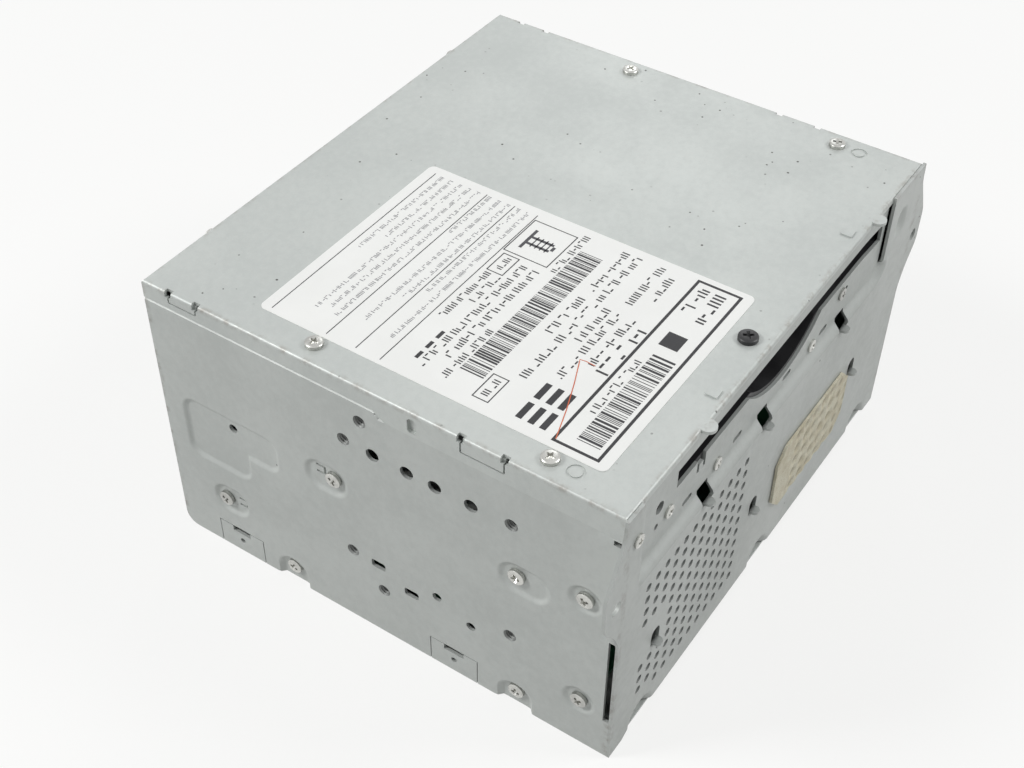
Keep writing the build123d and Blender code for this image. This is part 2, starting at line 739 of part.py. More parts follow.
with BuildPart() as front_plate:
    with BuildSketch(Plane.XZ.offset(-panel_back)):
        Polygon(
            (-half_width, 0), (-panel_foot_x, 0), (-panel_foot_x + panel_foot_run, panel_base_z),
            (panel_foot_x - panel_foot_run, panel_base_z), (panel_foot_x, 0), (half_width, 0),
            *right_ear, *left_ear, align=None,
        )
        rect(strip_left, fold_low, strip_right + side_slit, body_height, mode=Mode.SUBTRACT)
    extrude(amount=sheet)
    block((strip_left, strip_front, fold_high), (strip_right, strip_back, strip_top))
    with BuildSketch(Plane.YZ.offset(strip_left)):
        Polygon(
            (panel_front, fold_low), (panel_back, fold_low),
            (strip_back, fold_high), (strip_front, fold_high), align=None,
        )
    extrude(amount=strip_right - strip_left)
    block((strip_left - sheet, panel_front, fold_low),
          (strip_left, strip_back, body_height - front_lip_drop - panel_gap))
    for side in (-1, 1):
        block((side * flange_out, panel_back, front_flange_z[0]),
              (side * (flange_out - sheet), front_flange_y, front_flange_z[1]))
    for face_y, mode in ((panel_back, Mode.ADD), (panel_front, Mode.SUBTRACT)):
        with BuildSketch(Plane.XZ.offset(-face_y)):
            with Locations(*[(x, panel_base_z) for x in front_dimple_xs]):
                RegularPolygon(front_dimple_r, front_dimple_sides)
        extrude(amount=-front_dimple_depth, taper=dimple_taper, mode=mode)
        with BuildSketch(Plane.XZ.offset(-face_y)):
            with Locations((wing_dimple_x, body_height - wing_dimple_drop)):
                pressed(wing_dimple_width, wing_dimple_length, wing_dimple_width / 3)
        extrude(amount=-press_depth, taper=dimple_taper, mode=mode)
    dimple_cut_x = panel_foot_x - panel_foot_run
    dimple_back = panel_back + 2 * front_dimple_depth
    for cut_x, cut_front in ((dimple_cut_x, panel_front), (half_width, panel_back)):
        block((-cut_x, cut_front, -front_dimple_r), (cut_x, dimple_back, panel_base_z), mode=Mode.SUBTRACT)
    with BuildSketch(Plane.XZ.offset(-strip_back)):
        with Locations((deck_x, slot_low - finger_drop + finger_r)):
            RegularPolygon(finger_r, finger_sides)
        finger_low = slot_low - finger_drop
        rect(deck_x - finger_half, finger_low, deck_x + finger_half, slot_low, mode=Mode.INTERSECT)
        rect(slot_left, slot_low, slot_right, slot_high)
        catch_low = slot_low - catch_notch
        rect(catch_notch_x - catch_notch / 2, catch_low, catch_notch_x + catch_notch / 2, slot_low)
        rect(catch_notch_x - catch_tongue / 2, catch_low, catch_notch_x + catch_tongue / 2,
             catch_low + catch_tongue_height, mode=Mode.SUBTRACT)
        with Locations(*strip_screws):
            RegularPolygon(screw_hole_r, hole_sides)
        with Locations(*[(x, disc_z - strip_slot_drop) for x in strip_slots]):
            pressed(strip_slot_length, strip_slot_width, strip_slot_width / 3)
        for x, z, radius in strip_holes:
            with Locations((x, z)):
                RegularPolygon(radius, hole_sides)
    extrude(amount=sheet, mode=Mode.SUBTRACT)
    for x in upper_hooks:
        block(
            (x - upper_cut_width / 2, panel_front, upper_cut_low),
            (x + upper_cut_width / 2, strip_back, upper_cut_high),
            mode=Mode.SUBTRACT,
        )
    with BuildSketch(Plane.XZ.offset(-panel_back)):
        for x, z in lower_hooks:
            with Locations((x, z + lower_cut_height / 2)):
                pressed(lower_cut_width, lower_cut_height, lower_cut_width / 4)
    extrude(amount=sheet, mode=Mode.SUBTRACT)
    for x, z in [*[(x, upper_cut_low) for x in upper_hooks], *lower_hooks]:
        tip_y = panel_front - hook_reach
        with BuildSketch(Plane.XY.offset(z)) as hook:
            rect(x - hook_width / 2, tip_y, x + hook_width / 2, panel_back)
            chamfer(hook.vertices().group_by(Axis.Y)[0], hook_corner)
        extrude(amount=sheet)
    grille_spots = [
        (grille_left + column * grille_pitch, grille_top - row * grille_pitch)
        for column in range(grille_columns) for row in range(grille_rows)
        if not (column in grille_hook_columns and row in grille_hook_rows)
        and not (column in grille_corner_columns and row == grille_rows - 1)
    ]
    with BuildSketch(Plane.XZ.offset(-panel_back)):
        with Locations(*grille_spots):
            RegularPolygon(grille_hole_r, grille_hole_sides)
        with Locations(((pad_left + pad_right) / 2, (pad_low + pad_high) / 2)):
            with GridLocations(vent_pitch, vent_pitch, vent_columns, vent_rows):
                RegularPolygon(vent_hole_r, vent_hole_sides)
        with Locations((-ear_hole_x, ear_hole_z), (ear_hole_x, ear_hole_z)):
            Circle(ear_hole_r)
        with Locations((wing_screw_x, wing_screw_z)):
            RegularPolygon(screw_hole_r, hole_sides)
    extrude(amount=sheet, mode=Mode.SUBTRACT)
    with BuildSketch(Plane.YZ.offset(-half_width)):
        with Locations(*[spot for spot in wall_screws if spot[0] < front_flange_y]):
            RegularPolygon(screw_hole_r, hole_sides)
    extrude(amount=body_width, mode=Mode.SUBTRACT)
save(front_plate.part, "front_plate")

with BuildPart() as filter_pad:
    with BuildSketch(Plane.XZ.offset(-panel_front)) as pad_outline:
        rect(pad_left, pad_low, pad_right, pad_high)
        chamfer(pad_outline.vertices(), pad_chamfer)
    extrude(amount=pad_thick)
save(filter_pad.part, "filter_pad")

with BuildPart() as label_sheet:
    with BuildSketch(Plane.XY.offset(body_height)) as label_outline:
        rect(label_left, label_front, label_right, label_back)
        fillet(label_outline.vertices(), label_corner_r)
    extrude(amount=label_thick)
save(label_sheet.part, "label_sheet")

# Bottom cover and rear panel

with BuildPart() as bottom_cover:
    block((-bottom_lip_out, front_y, 0), (bottom_lip_out, rear_y - sheet, sheet))
    for side in (-1, 1):
        block(
            (side * bottom_lip_out, bottom_lip_span[0], 0),
            (side * (bottom_lip_out - sheet), bottom_lip_span[1], bottom_lip_height),
        )
        for low_y, high_y in bottom_tab_spans:
            block((side * wall_in, low_y, 0), (side * half_width, high_y, bottom_tab_z))
            block((side * bottom_lip_out, low_y, 0), (side * half_width, high_y, sheet))
            notch_y = (low_y + high_y) / 2
            block(
                (side * wall_in, notch_y - bottom_tab_notch / 2, bottom_tab_z - bottom_tab_notch_depth),
                (side * half_width, notch_y + bottom_tab_notch / 2, bottom_tab_z), mode=Mode.SUBTRACT,
            )
    with BuildSketch(Plane.YZ.offset(-half_width)):
        with Locations(*[((low_y + high_y) / 2, bottom_tab_z / 2) for low_y, high_y in bottom_tab_spans]):
            RegularPolygon(bottom_tab_hole_r, hole_sides)
        with Locations(*edge_screws):
            RegularPolygon(screw_hole_r, hole_sides)
    extrude(amount=body_width, mode=Mode.SUBTRACT)
save(bottom_cover.part, "bottom_cover")

rear_panel_out = rear_y - sheet
fan_hole = fan_hole_pitch / 2
fan_screw_spots = [(fan_x + a * fan_hole, fan_z + b * fan_hole) for a in (-1, 1) for b in (-1, 1)]

with BuildPart() as rear_panel:
    with BuildSketch(Plane.XZ.offset(-rear_panel_out)):
        rect(-wall_in, sheet, wall_in, rear_shoulder_z)
        rect(-wall_in + sheet, rear_shoulder_z, wall_in - sheet, under_cover)
    extrude(amount=sheet)
    block((-rear_flange_half, rear_panel_front - rear_flange_depth, under_cover - sheet),
          (rear_flange_half, rear_panel_front, under_cover))
    for side in (-1, 1):
        block((side * flange_out, rear_side_flange_y, rear_side_flange_z[0]),
              (side * (flange_out - sheet), rear_panel_front, rear_side_flange_z[1]))
    with BuildSketch(Plane.XZ.offset(-rear_panel_out)):
        with Locations((fan_x, fan_z)):
            for outer_r in fan_slot_rings:
                RegularPolygon(outer_r, fan_slot_sides)
                RegularPolygon(outer_r - fan_slot_width, fan_slot_sides, mode=Mode.SUBTRACT)
            Rectangle(fan_size, fan_slot_bar, rotation=45, mode=Mode.SUBTRACT)
            Rectangle(fan_size, fan_slot_bar, rotation=-45, mode=Mode.SUBTRACT)
    extrude(amount=sheet, mode=Mode.SUBTRACT)
    with BuildSketch(Plane.XZ.offset(-rear_panel_out)):
        for low_x, high_x, high_z in (harness_box, aux_box):
            rect(low_x - panel_gap, board_top - panel_gap, high_x + panel_gap, high_z + panel_gap)
        with Locations((antenna_x, antenna_z)):
            Circle(antenna_outer_r + panel_gap)
        with Locations(*rear_screw_spots, *fan_screw_spots):
            RegularPolygon(screw_hole_r, hole_sides)
    extrude(amount=sheet, mode=Mode.SUBTRACT)
    with BuildSketch(Plane.YZ.offset(-half_width)):
        with Locations(*[spot for spot in wall_screws if spot[0] > rear_side_flange_y]):
            RegularPolygon(screw_hole_r, hole_sides)
    extrude(amount=body_width, mode=Mode.SUBTRACT)
save(rear_panel.part, "rear_panel")

rear_out = Plane(origin=(0, rear_y, 0), x_dir=(-1, 0, 0), z_dir=(0, 1, 0))
screw_group("rear_lip_screws", wall_screw, [rear_out * Pos(-x, z, 0) for x, z in rear_screw_spots])
panel_out = rear_out.offset(-sheet)
screw_group("fan_screws", wall_screw, [panel_out * Pos(-x, z, 0) for x, z in fan_screw_spots])

# Disc guides behind the slot

guide_dip_r = (guide_dip_half ** 2 + guide_dip ** 2) / (2 * guide_dip)
guide_bow_r = (upper_guide_bow_half ** 2 + upper_guide_bow ** 2) / (2 * upper_guide_bow)

with BuildPart() as lower_disc_guide:
    with BuildSketch(Plane.XZ.offset(-guide_rear)):
        rect(deck_x - guide_half, guide_low, deck_x + guide_half, guide_top)
        for x, z in strip_screws[1:3]:
            rect(x - guide_lug_half, fold_high + guide_lug_gap, x + guide_lug_half, guide_low)
        with Locations((deck_x, guide_top - guide_dip + guide_dip_r)):
            RegularPolygon(guide_dip_r, finger_sides, mode=Mode.SUBTRACT)
    extrude(amount=guide_rear - guide_front)
    with BuildSketch(Plane.XZ.offset(-guide_rear)):
        for x in guide_pocket_xs:
            rect(
                deck_x + x - guide_pocket_width / 2, guide_low + guide_wall,
                deck_x + x + guide_pocket_width / 2, guide_top - guide_wall,
            )
    extrude(amount=guide_rear - guide_front - guide_wall, mode=Mode.SUBTRACT)
    with BuildSketch(Plane.XZ.offset(-guide_front)):
        with Locations(*strip_screws):
            RegularPolygon(screw_hole_r, hole_sides)
    extrude(amount=-screw_shank_length, mode=Mode.SUBTRACT)
save(lower_disc_guide.part, "lower_disc_guide")

with BuildPart() as upper_disc_guide:
    with BuildSketch(Plane.XY.offset(upper_guide_high - upper_guide_plate)):
        rect(deck_x - deck_half, upper_guide_front, deck_x + deck_half, upper_guide_rear)
        with Locations((deck_x, upper_guide_rear + guide_bow_r - upper_guide_bow)):
            Circle(guide_bow_r, mode=Mode.SUBTRACT)
    extrude(amount=upper_guide_plate)
    guide_side = deck_half - upper_guide_foot
    block((deck_x - guide_side, upper_guide_front, upper_guide_low),
          (deck_x + guide_side, upper_guide_front + guide_wall, upper_guide_high))
    for side in (-1, 1):
        block((deck_x + side * deck_half, deck_front, deck_flange_top),
              (deck_x + side * guide_side, upper_guide_rear, upper_guide_high))
save(upper_disc_guide.part, "upper_disc_guide")

# Disc deck

deck_left = deck_x - deck_half
deck_right = deck_x + deck_half
deck_top = deck_floor + sheet
idler_y = roller_y + idler_dy
idler_z = roller_z - math.sqrt((gear_module * (roller_teeth + idler_teeth) / 2) ** 2 - idler_dy ** 2)
pinion_y = idler_y + pinion_dy
pinion_z = idler_z + math.sqrt((gear_module * (idler_teeth + pinion_teeth) / 2) ** 2 - pinion_dy ** 2)
rod_ys = (spindle_y - rod_offset, spindle_y + rod_offset)
lead_screw_y = spindle_y - screw_offset
post_spans = (
    (lead_screw_y - sled_motor_r, rod_ys[0] + rod_post_half),
    (rod_ys[1] - rod_post_half, rod_ys[1] + rod_post_half),
)
ear_in = arm_half + arm_side_gap
ear_out = ear_in + sheet


def rod_x(low_x, high_x, y, z, radius, mode=Mode.ADD):
    """A cylinder along X in the open part."""
    with BuildSketch(Plane.YZ.offset(low_x)) as section:
        with Locations((y, z)):
            Circle(radius)
    extrude(section.sketch, amount=high_x - low_x, mode=mode)


with BuildPart() as deck_chassis:
    block((deck_left, deck_front, deck_floor), (deck_right, deck_rear, deck_top))
    block((deck_left, deck_rear - sheet, deck_floor), (deck_right, deck_rear, deck_lip_top))
    for low_x in (deck_left, deck_right - sheet):
        block((low_x, deck_front, deck_floor), (low_x + sheet, deck_rear, deck_flange_top))
    for low_y, high_y in post_spans:
        block((rod_end, low_y, deck_floor), (rod_end + sheet, high_y, rod_z + rod_post_half))
    for side in (-1, 1):
        block((deck_x + side * ear_in, arm_ear_y[0], deck_floor),
              (deck_x + side * ear_out, arm_ear_y[1], arm_ear_top))
    with BuildSketch(Plane.XY.offset(deck_floor)) as windows:
        for window in deck_windows:
            rect(*window)
        chamfer(windows.vertices(), deck_window_corner)
    extrude(amount=sheet, mode=Mode.SUBTRACT)
    for low_x in (deck_left, deck_right - sheet):
        rod_x(low_x, low_x + sheet, roller_y, roller_z, bush_r + fit_gap, mode=Mode.SUBTRACT)
    rod_x(deck_left, rod_end + sheet, lead_screw_y, rod_z, lead_screw_r + run_gap, mode=Mode.SUBTRACT)
    rod_x(deck_right - sheet, deck_right, idler_y, idler_z, pin_r + fit_gap, mode=Mode.SUBTRACT)
    rod_x(deck_right - sheet, deck_right, pinion_y, pinion_z, motor_boss_r + fit_gap, mode=Mode.SUBTRACT)
    for y in rod_ys:
        rod_x(deck_left, rod_end + sheet, y, rod_z, pin_r + fit_gap, mode=Mode.SUBTRACT)
    rod_x(deck_x - ear_out, deck_x + ear_out, pivot_y, pivot_z, pin_r + fit_gap, mode=Mode.SUBTRACT)
save(deck_chassis.part, "deck_chassis")

with BuildPart() as roller_bushes:
    for middle_x in (deck_left + sheet / 2, deck_right - sheet / 2):
        rod_x(middle_x - bush_length / 2, middle_x + bush_length / 2, roller_y, roller_z, bush_r)
    bore_r = pin_r + run_gap
    rod_x(deck_left - bush_length, deck_right + bush_length, roller_y, roller_z, bore_r, mode=Mode.SUBTRACT)
save(roller_bushes.part, "roller_bushes")

gear_x = deck_right + gear_offset

with BuildPart() as roller_shaft:
    rod_x(deck_left - bush_length / 2, gear_x + gear_width + shaft_end, roller_y, roller_z, pin_r)
save(roller_shaft.part, "roller_shaft")

with BuildPart() as roller_sleeves:
    for side in (-1, 1):
        inner_x = deck_x + side * roller_sleeve_gap / 2
        outer_x = inner_x + side * roller_sleeve_length
        for x, radius in ((inner_x, roller_mid_r), (outer_x, roller_end_r)):
            with BuildSketch(Plane.YZ.offset(x)):
                with Locations((roller_y, roller_z)):
                    RegularPolygon(radius, sleeve_sides)
        loft(ruled=True)
    rod_x(deck_left, deck_right, roller_y, roller_z, pin_r + fit_gap, mode=Mode.SUBTRACT)
save(roller_sleeves.part, "roller_sleeves")

to_idler = math.atan2(idler_z - roller_z, idler_y - roller_y)
to_pinion = math.atan2(pinion_z - idler_z, pinion_y - idler_y)
idler_phase = meshed_phase(roller_teeth, 0.0, idler_teeth, to_idler)
pinion_phase = meshed_phase(idler_teeth, idler_phase, pinion_teeth, to_pinion)


def spur_gear(teeth, phase, y, z, bore_r):
    """A spur gear in the open part, in the plane of the gear train."""
    with BuildSketch(Plane.YZ.offset(gear_x)) as outline:
        with Locations((y, z)):
            Polygon(*gear_outline(teeth, phase), align=None)
            Circle(bore_r, mode=Mode.SUBTRACT)
    extrude(outline.sketch, amount=gear_width)


with BuildPart() as roller_gear:
    spur_gear(roller_teeth, 0.0, roller_y, roller_z, pin_r + fit_gap)
save(roller_gear.part, "roller_gear")

with BuildPart() as idler_gear:
    spur_gear(idler_teeth, idler_phase, idler_y, idler_z, pin_r + run_gap)
save(idler_gear.part, "idler_gear")

with BuildPart() as idler_pin:
    head_x = gear_x + gear_width + pin_head_gap
    rod_x(deck_right - 2 * sheet, head_x, idler_y, idler_z, pin_r)
    rod_x(head_x, head_x + pin_head, idler_y, idler_z, pin_head_r)
save(idler_pin.part, "idler_pin")

with BuildPart() as motor_pinion:
    spur_gear(pinion_teeth, pinion_phase, pinion_y, pinion_z, motor_shaft_r)
    rod_x(deck_right - sheet - motor_shaft_grip, gear_x + gear_width, pinion_y, pinion_z, motor_shaft_r)
save(motor_pinion.part, "motor_pinion")

with BuildPart() as loading_motor:
    motor_end = deck_right - sheet
    rod_x(motor_end - load_motor_length, motor_end, pinion_y, pinion_z, load_motor_r)
    block(
        (motor_end - load_motor_length, pinion_y - load_motor_r, pinion_z - motor_flat),
        (motor_end, pinion_y + load_motor_r, pinion_z + motor_flat),
        mode=Mode.INTERSECT,
    )
    rod_x(motor_end, deck_right, pinion_y, pinion_z, motor_boss_r)
    bore_x = motor_end - motor_shaft_grip - shaft_end
    rod_x(bore_x, deck_right, pinion_y, pinion_z, motor_shaft_r + run_gap, mode=Mode.SUBTRACT)
save(loading_motor.part, "loading_motor")

# Turntable and pickup

table_low = disc_z - turntable_thick
spindle_low = table_low - spindle_length

with BuildPart() as spindle_motor:
    with BuildSketch(Plane.XY.offset(deck_top)):
        with Locations((deck_x, spindle_y)):
            Circle(spindle_motor_r)
    extrude(amount=spindle_motor_top - deck_top)
    with BuildSketch(Plane.XY.offset(spindle_low - shaft_end)):
        with Locations((deck_x, spindle_y)):
            Circle(spindle_r + run_gap)
    extrude(amount=spindle_motor_top - spindle_low + shaft_end, mode=Mode.SUBTRACT)
save(spindle_motor.part, "spindle_motor")

with BuildPart() as turntable:
    with BuildSketch(Plane.XZ.offset(-spindle_y)):
        Polygon(
            (deck_x, spindle_low), (deck_x + spindle_r, spindle_low), (deck_x + spindle_r, table_low),
            (deck_x + turntable_r, table_low), (deck_x + turntable_r, disc_z), (deck_x + hub_r, disc_z),
            (deck_x + hub_r - hub_taper, disc_z + hub_height), (deck_x, disc_z + hub_height), align=None,
        )
    revolve(axis=Axis((deck_x, spindle_y, 0), (0, 0, 1)))
save(turntable.part, "turntable")

with BuildPart() as guide_rods:
    for y in rod_ys:
        rod_x(deck_left, rod_end + sheet, y, rod_z, pin_r)
save(guide_rods.part, "guide_rods")

sled_low_x = deck_left + sheet + sled_end_gap + sled_travel
sled_high_x = sled_low_x + sled_length
sled_middle_x = (sled_low_x + sled_high_x) / 2
sled_front_y = spindle_y - sled_half

with BuildPart() as pickup_sled:
    block((sled_low_x, sled_front_y, sled_low), (sled_high_x, spindle_y + sled_half, sled_top))
    chamfer(pickup_sled.edges().filter_by(Axis.Z), sled_chamfer)
    block((sled_low_x, sled_front_y - nut_width, sled_low), (sled_high_x, sled_front_y, nut_top))
    for y in rod_ys:
        rod_x(sled_low_x, sled_high_x, y, rod_z, pin_r + run_gap, mode=Mode.SUBTRACT)
    rod_x(sled_low_x, sled_high_x, lead_screw_y, rod_z, lead_screw_r + run_gap, mode=Mode.SUBTRACT)
    with BuildSketch(Plane.XY.offset(lens_low - lens_travel - 2 * lens_gap)):
        with Locations((sled_middle_x, spindle_y)):
            Circle(lens_r + lens_gap)
    extrude(amount=sled_top - lens_low + lens_travel + 2 * lens_gap, mode=Mode.SUBTRACT)
save(pickup_sled.part, "pickup_sled")

with BuildPart() as pickup_lens:
    with BuildSketch(Plane.XY.offset(lens_low)):
        with Locations((sled_middle_x, spindle_y)):
            Circle(lens_r)
    extrude(amount=lens_height)
save(pickup_lens.part, "pickup_lens")

with BuildPart() as lead_screw:
    thread_end = rod_end - pin_head_gap
    rod_x(deck_left - sheet, thread_end, lead_screw_y, rod_z, lead_screw_r)
    rod_x(thread_end, rod_end + sheet + motor_shaft_grip, lead_screw_y, rod_z, motor_shaft_r)
save(lead_screw.part, "lead_screw")

with BuildPart() as sled_motor:
    sled_motor_x = rod_end + sheet
    rod_x(sled_motor_x, sled_motor_x + sled_motor_length, lead_screw_y, rod_z, sled_motor_r)
    bore_end = sled_motor_x + motor_shaft_grip + shaft_end
    rod_x(sled_motor_x, bore_end, lead_screw_y, rod_z, motor_shaft_r + run_gap, mode=Mode.SUBTRACT)
save(sled_motor.part, "sled_motor")

# Clamp

with BuildPart() as clamp_arm:
    with BuildSketch(Plane.XY.offset(arm_z)) as arm_outline:
        rect(deck_x - arm_web_half, spindle_y, deck_x + arm_web_half, arm_bar_y[1])
        rect(deck_x - arm_half, arm_bar_y[0], deck_x + arm_half, arm_bar_y[1])
        bar_corners = arm_outline.vertices().filter_by_position(Axis.Y, arm_bar_y[0], arm_bar_y[0])
        chamfer(bar_corners.sort_by(Axis.X)[1:3], arm_corner)
        with Locations((deck_x, spindle_y)):
            Circle(arm_nose_r)
            Circle(arm_hole_r, mode=Mode.SUBTRACT)
    extrude(amount=sheet)
    for side in (-1, 1):
        block((deck_x + side * arm_half, arm_flange_y, arm_flange_low),
              (deck_x + side * (arm_half - sheet), arm_bar_y[1], arm_z + sheet))
    rod_x(deck_x - arm_half, deck_x + arm_half, pivot_y, pivot_z, pin_r + run_gap, mode=Mode.SUBTRACT)
save(clamp_arm.part, "clamp_arm")

with BuildPart() as clamp_pivot_pin:
    rod_x(deck_x - ear_out, deck_x + ear_out, pivot_y, pivot_z, pin_r)
save(clamp_pivot_pin.part, "clamp_pivot_pin")

with BuildPart() as clamp_puck:
    flange_high = puck_low + puck_flange
    neck_high = arm_z + sheet + puck_play
    with BuildSketch(Plane.XZ.offset(-spindle_y)):
        Polygon(
            (deck_x, puck_low + puck_recess), (deck_x + puck_recess_r, puck_low + puck_recess),
            (deck_x + puck_recess_r, puck_low), (deck_x + puck_r, puck_low), (deck_x + puck_r, flange_high),
            (deck_x + puck_neck_r, flange_high), (deck_x + puck_neck_r, neck_high),
            (deck_x + puck_top_r, neck_high), (deck_x + puck_top_r, neck_high + puck_top_thick),
            (deck_x, neck_high + puck_top_thick), align=None,
        )
    revolve(axis=Axis((deck_x, spindle_y, 0), (0, 0, 1)))
save(clamp_puck.part, "clamp_puck")

# Deck suspension

with BuildPart() as left_deck_bracket:
    front_end, back_end = bracket_span
    block((-flange_out, front_end, bracket_flange_low), (-flange_out + sheet, back_end, shelf_top))
    block((-flange_out, front_end, shelf_top - sheet), (-bracket_reach, back_end, shelf_top))
    block(
        (-bracket_waist, damper_ys[0] + bracket_waist_gap, shelf_top - sheet),
        (-bracket_reach, damper_ys[1] - bracket_waist_gap, shelf_top),
        mode=Mode.SUBTRACT,
    )
    top_edges = left_deck_bracket.edges().filter_by(Axis.Y).filter_by_position(Axis.Z, shelf_top, shelf_top)
    fillet(top_edges.sort_by(Axis.X)[0], bend_r)
    with BuildSketch(Plane.YZ.offset(-flange_out)):
        with Locations(*[spot for spot in wall_screws if front_end < spot[0] < back_end]):
            RegularPolygon(screw_hole_r, hole_sides)
    extrude(amount=sheet, mode=Mode.SUBTRACT)
save(left_deck_bracket.part, "left_deck_bracket")

with BuildPart() as right_deck_bracket:
    mirror(left_deck_bracket.part, about=Plane.YZ)
save(right_deck_bracket.part, "right_deck_bracket")

damper_height = deck_floor - shelf_top

with BuildPart() as rubber_damper:
    for height, radius in ((0, damper_r), (damper_height / 2, damper_waist_r), (damper_height, damper_r)):
        with BuildSketch(Plane.XY.offset(height)):
            RegularPolygon(radius, damper_sides)
    loft(ruled=True)

with BuildPart() as rubber_dampers:
    with Locations(*[(side * damper_x, y, shelf_top) for side in (-1, 1) for y in damper_ys]):
        add(rubber_damper.part)
save(rubber_dampers.part, "rubber_dampers")

# Main board and what stands on it

board_screw_spots = [(side * standoff_x, y) for side in (-1, 1) for y in standoff_ys]

with BuildPart() as main_board:
    block((-board_half_x, board_front, board_low), (board_half_x, board_back, board_top))
    with BuildSketch(Plane.XY.offset(board_low)):
        with Locations(*board_screw_spots):
            RegularPolygon(screw_hole_r, hole_sides)
    extrude(amount=board_thick, mode=Mode.SUBTRACT)
save(main_board.part, "main_board")

with BuildPart() as board_standoffs:
    for radius, sides, low_z, mode in (
        (standoff_r, standoff_sides, sheet, Mode.ADD),
        (screw_hole_r, hole_sides, board_low - screw_shank_length, Mode.SUBTRACT),
    ):
        with BuildSketch(Plane.XY.offset(low_z)):
            with Locations(*board_screw_spots):
                RegularPolygon(radius, sides)
        extrude(amount=board_low - low_z, mode=mode)
save(board_standoffs.part, "board_standoffs")

screw_group("board_screws", wall_screw, [Pos(x, y, board_top) for x, y in board_screw_spots])

with BuildPart() as harness_socket:
    low_x, high_x, high_z = harness_box
    block((low_x, harness_front, board_top), (high_x, rear_panel_out, high_z))
    block(
        (low_x + socket_wall, rear_panel_out - harness_cavity, board_top + socket_wall),
        (high_x - socket_wall, rear_panel_out, high_z - socket_wall),
        mode=Mode.SUBTRACT,
    )
    key_x = (low_x + high_x) / 2
    block(
        (key_x - harness_key / 2, rear_panel_out - harness_cavity, high_z - socket_wall),
        (key_x + harness_key / 2, rear_panel_out, high_z - socket_wall + harness_key_depth),
        mode=Mode.SUBTRACT,
    )
save(harness_socket.part, "harness_socket")

with BuildPart() as aux_socket:
    low_x, high_x, high_z = aux_box
    block((low_x, aux_front, board_top), (high_x, rear_panel_out, high_z))
    block(
        (low_x + socket_wall, rear_panel_out - aux_cavity, board_top + socket_wall),
        (high_x - socket_wall, rear_panel_out, high_z - socket_wall),
        mode=Mode.SUBTRACT,
    )
save(aux_socket.part, "aux_socket")

with BuildPart() as connector_pins:
    for (low_x, high_x, high_z), cavity, length, columns in (
        (harness_box, harness_cavity, harness_pin_length, 8),
        (aux_box, aux_cavity, aux_pin_length, 3),
    ):
        pin_y = rear_panel_out - cavity + length / 2
        with Locations((((low_x + high_x) / 2, pin_y, (board_top + high_z) / 2))):
            for row in (-1, 1):
                for column in range(columns):
                    pin_x = (column - (columns - 1) / 2) * pin_pitch
                    with Locations((pin_x, 0, row * pin_pitch / 2)):
                        Box(socket_pin, length, socket_pin)
save(connector_pins.part, "connector_pins")

tuner_back = board_back - sheet
antenna_start = tuner_back

with BuildPart() as tuner_module:
    low_x, high_x, high_z = tuner_box
    block((low_x, tuner_back - tuner_depth, board_top), (high_x, tuner_back, high_z))
    chamfer(tuner_module.faces().sort_by(Axis.Z)[-1].edges(), tuner_chamfer)
save(tuner_module.part, "tuner_module")

with BuildPart() as antenna_socket:
    with BuildSketch(Plane.XZ.offset(-antenna_start)):
        with Locations((antenna_x, antenna_z)):
            Circle(antenna_outer_r)
    extrude(amount=-antenna_length)
    with BuildSketch(Plane.XZ.offset(-antenna_start - antenna_floor)):
        with Locations((antenna_x, antenna_z)):
            Circle(antenna_bore_r)
    extrude(amount=antenna_floor - antenna_length, mode=Mode.SUBTRACT)
    with BuildSketch(Plane.XZ.offset(-antenna_start - antenna_floor)):
        with Locations((antenna_x, antenna_z)):
            Circle(antenna_contact_r)
    extrude(amount=antenna_floor / 2, mode=Mode.SUBTRACT)
save(antenna_socket.part, "antenna_socket")

with BuildPart() as heat_sink:
    block((sink_left, sink_front, board_top), (sink_left + sink_base, sink_back, sink_top))
    fin_pitch = (sink_back - sink_front - fin_thick) / (sink_fins - 1)
    for fin in range(sink_fins):
        fin_y = sink_front + fin * fin_pitch
        block((sink_left, fin_y, board_top), (sink_right, fin_y + fin_thick, sink_top))
save(heat_sink.part, "heat_sink")

with BuildPart() as amplifier_ic:
    block((sink_left - chip_thick, chip_y[0], chip_z[0]), (sink_left, chip_y[1], chip_z[1]))
    leg_x = sink_left - chip_thick / 2
    for leg in range(chip_legs):
        leg_y = (chip_y[0] + chip_y[1]) / 2 + (leg - (chip_legs - 1) / 2) * chip_leg_pitch
        block((leg_x - chip_leg / 2, leg_y - chip_leg / 2, board_top),
              (leg_x + chip_leg / 2, leg_y + chip_leg / 2, chip_z[0]))
save(amplifier_ic.part, "amplifier_ic")

with BuildPart() as capacitors:
    with BuildSketch(Plane.XY.offset(board_top)):
        with Locations(*capacitor_spots):
            RegularPolygon(capacitor_r, capacitor_sides)
    extrude(amount=capacitor_height)
save(capacitors.part, "capacitors")

with BuildPart() as shield_can:
    block((shield_left, shield_front, board_top), (shield_right, shield_back, board_top + shield_height))
    chamfer(shield_can.faces().sort_by(Axis.Z)[-1].edges(), shield_chamfer)
save(shield_can.part, "shield_can")

ribbon_half = ribbon_thick / 2
ribbon_low = board_top + plug_height
ribbon_high = deck_floor - plug_height

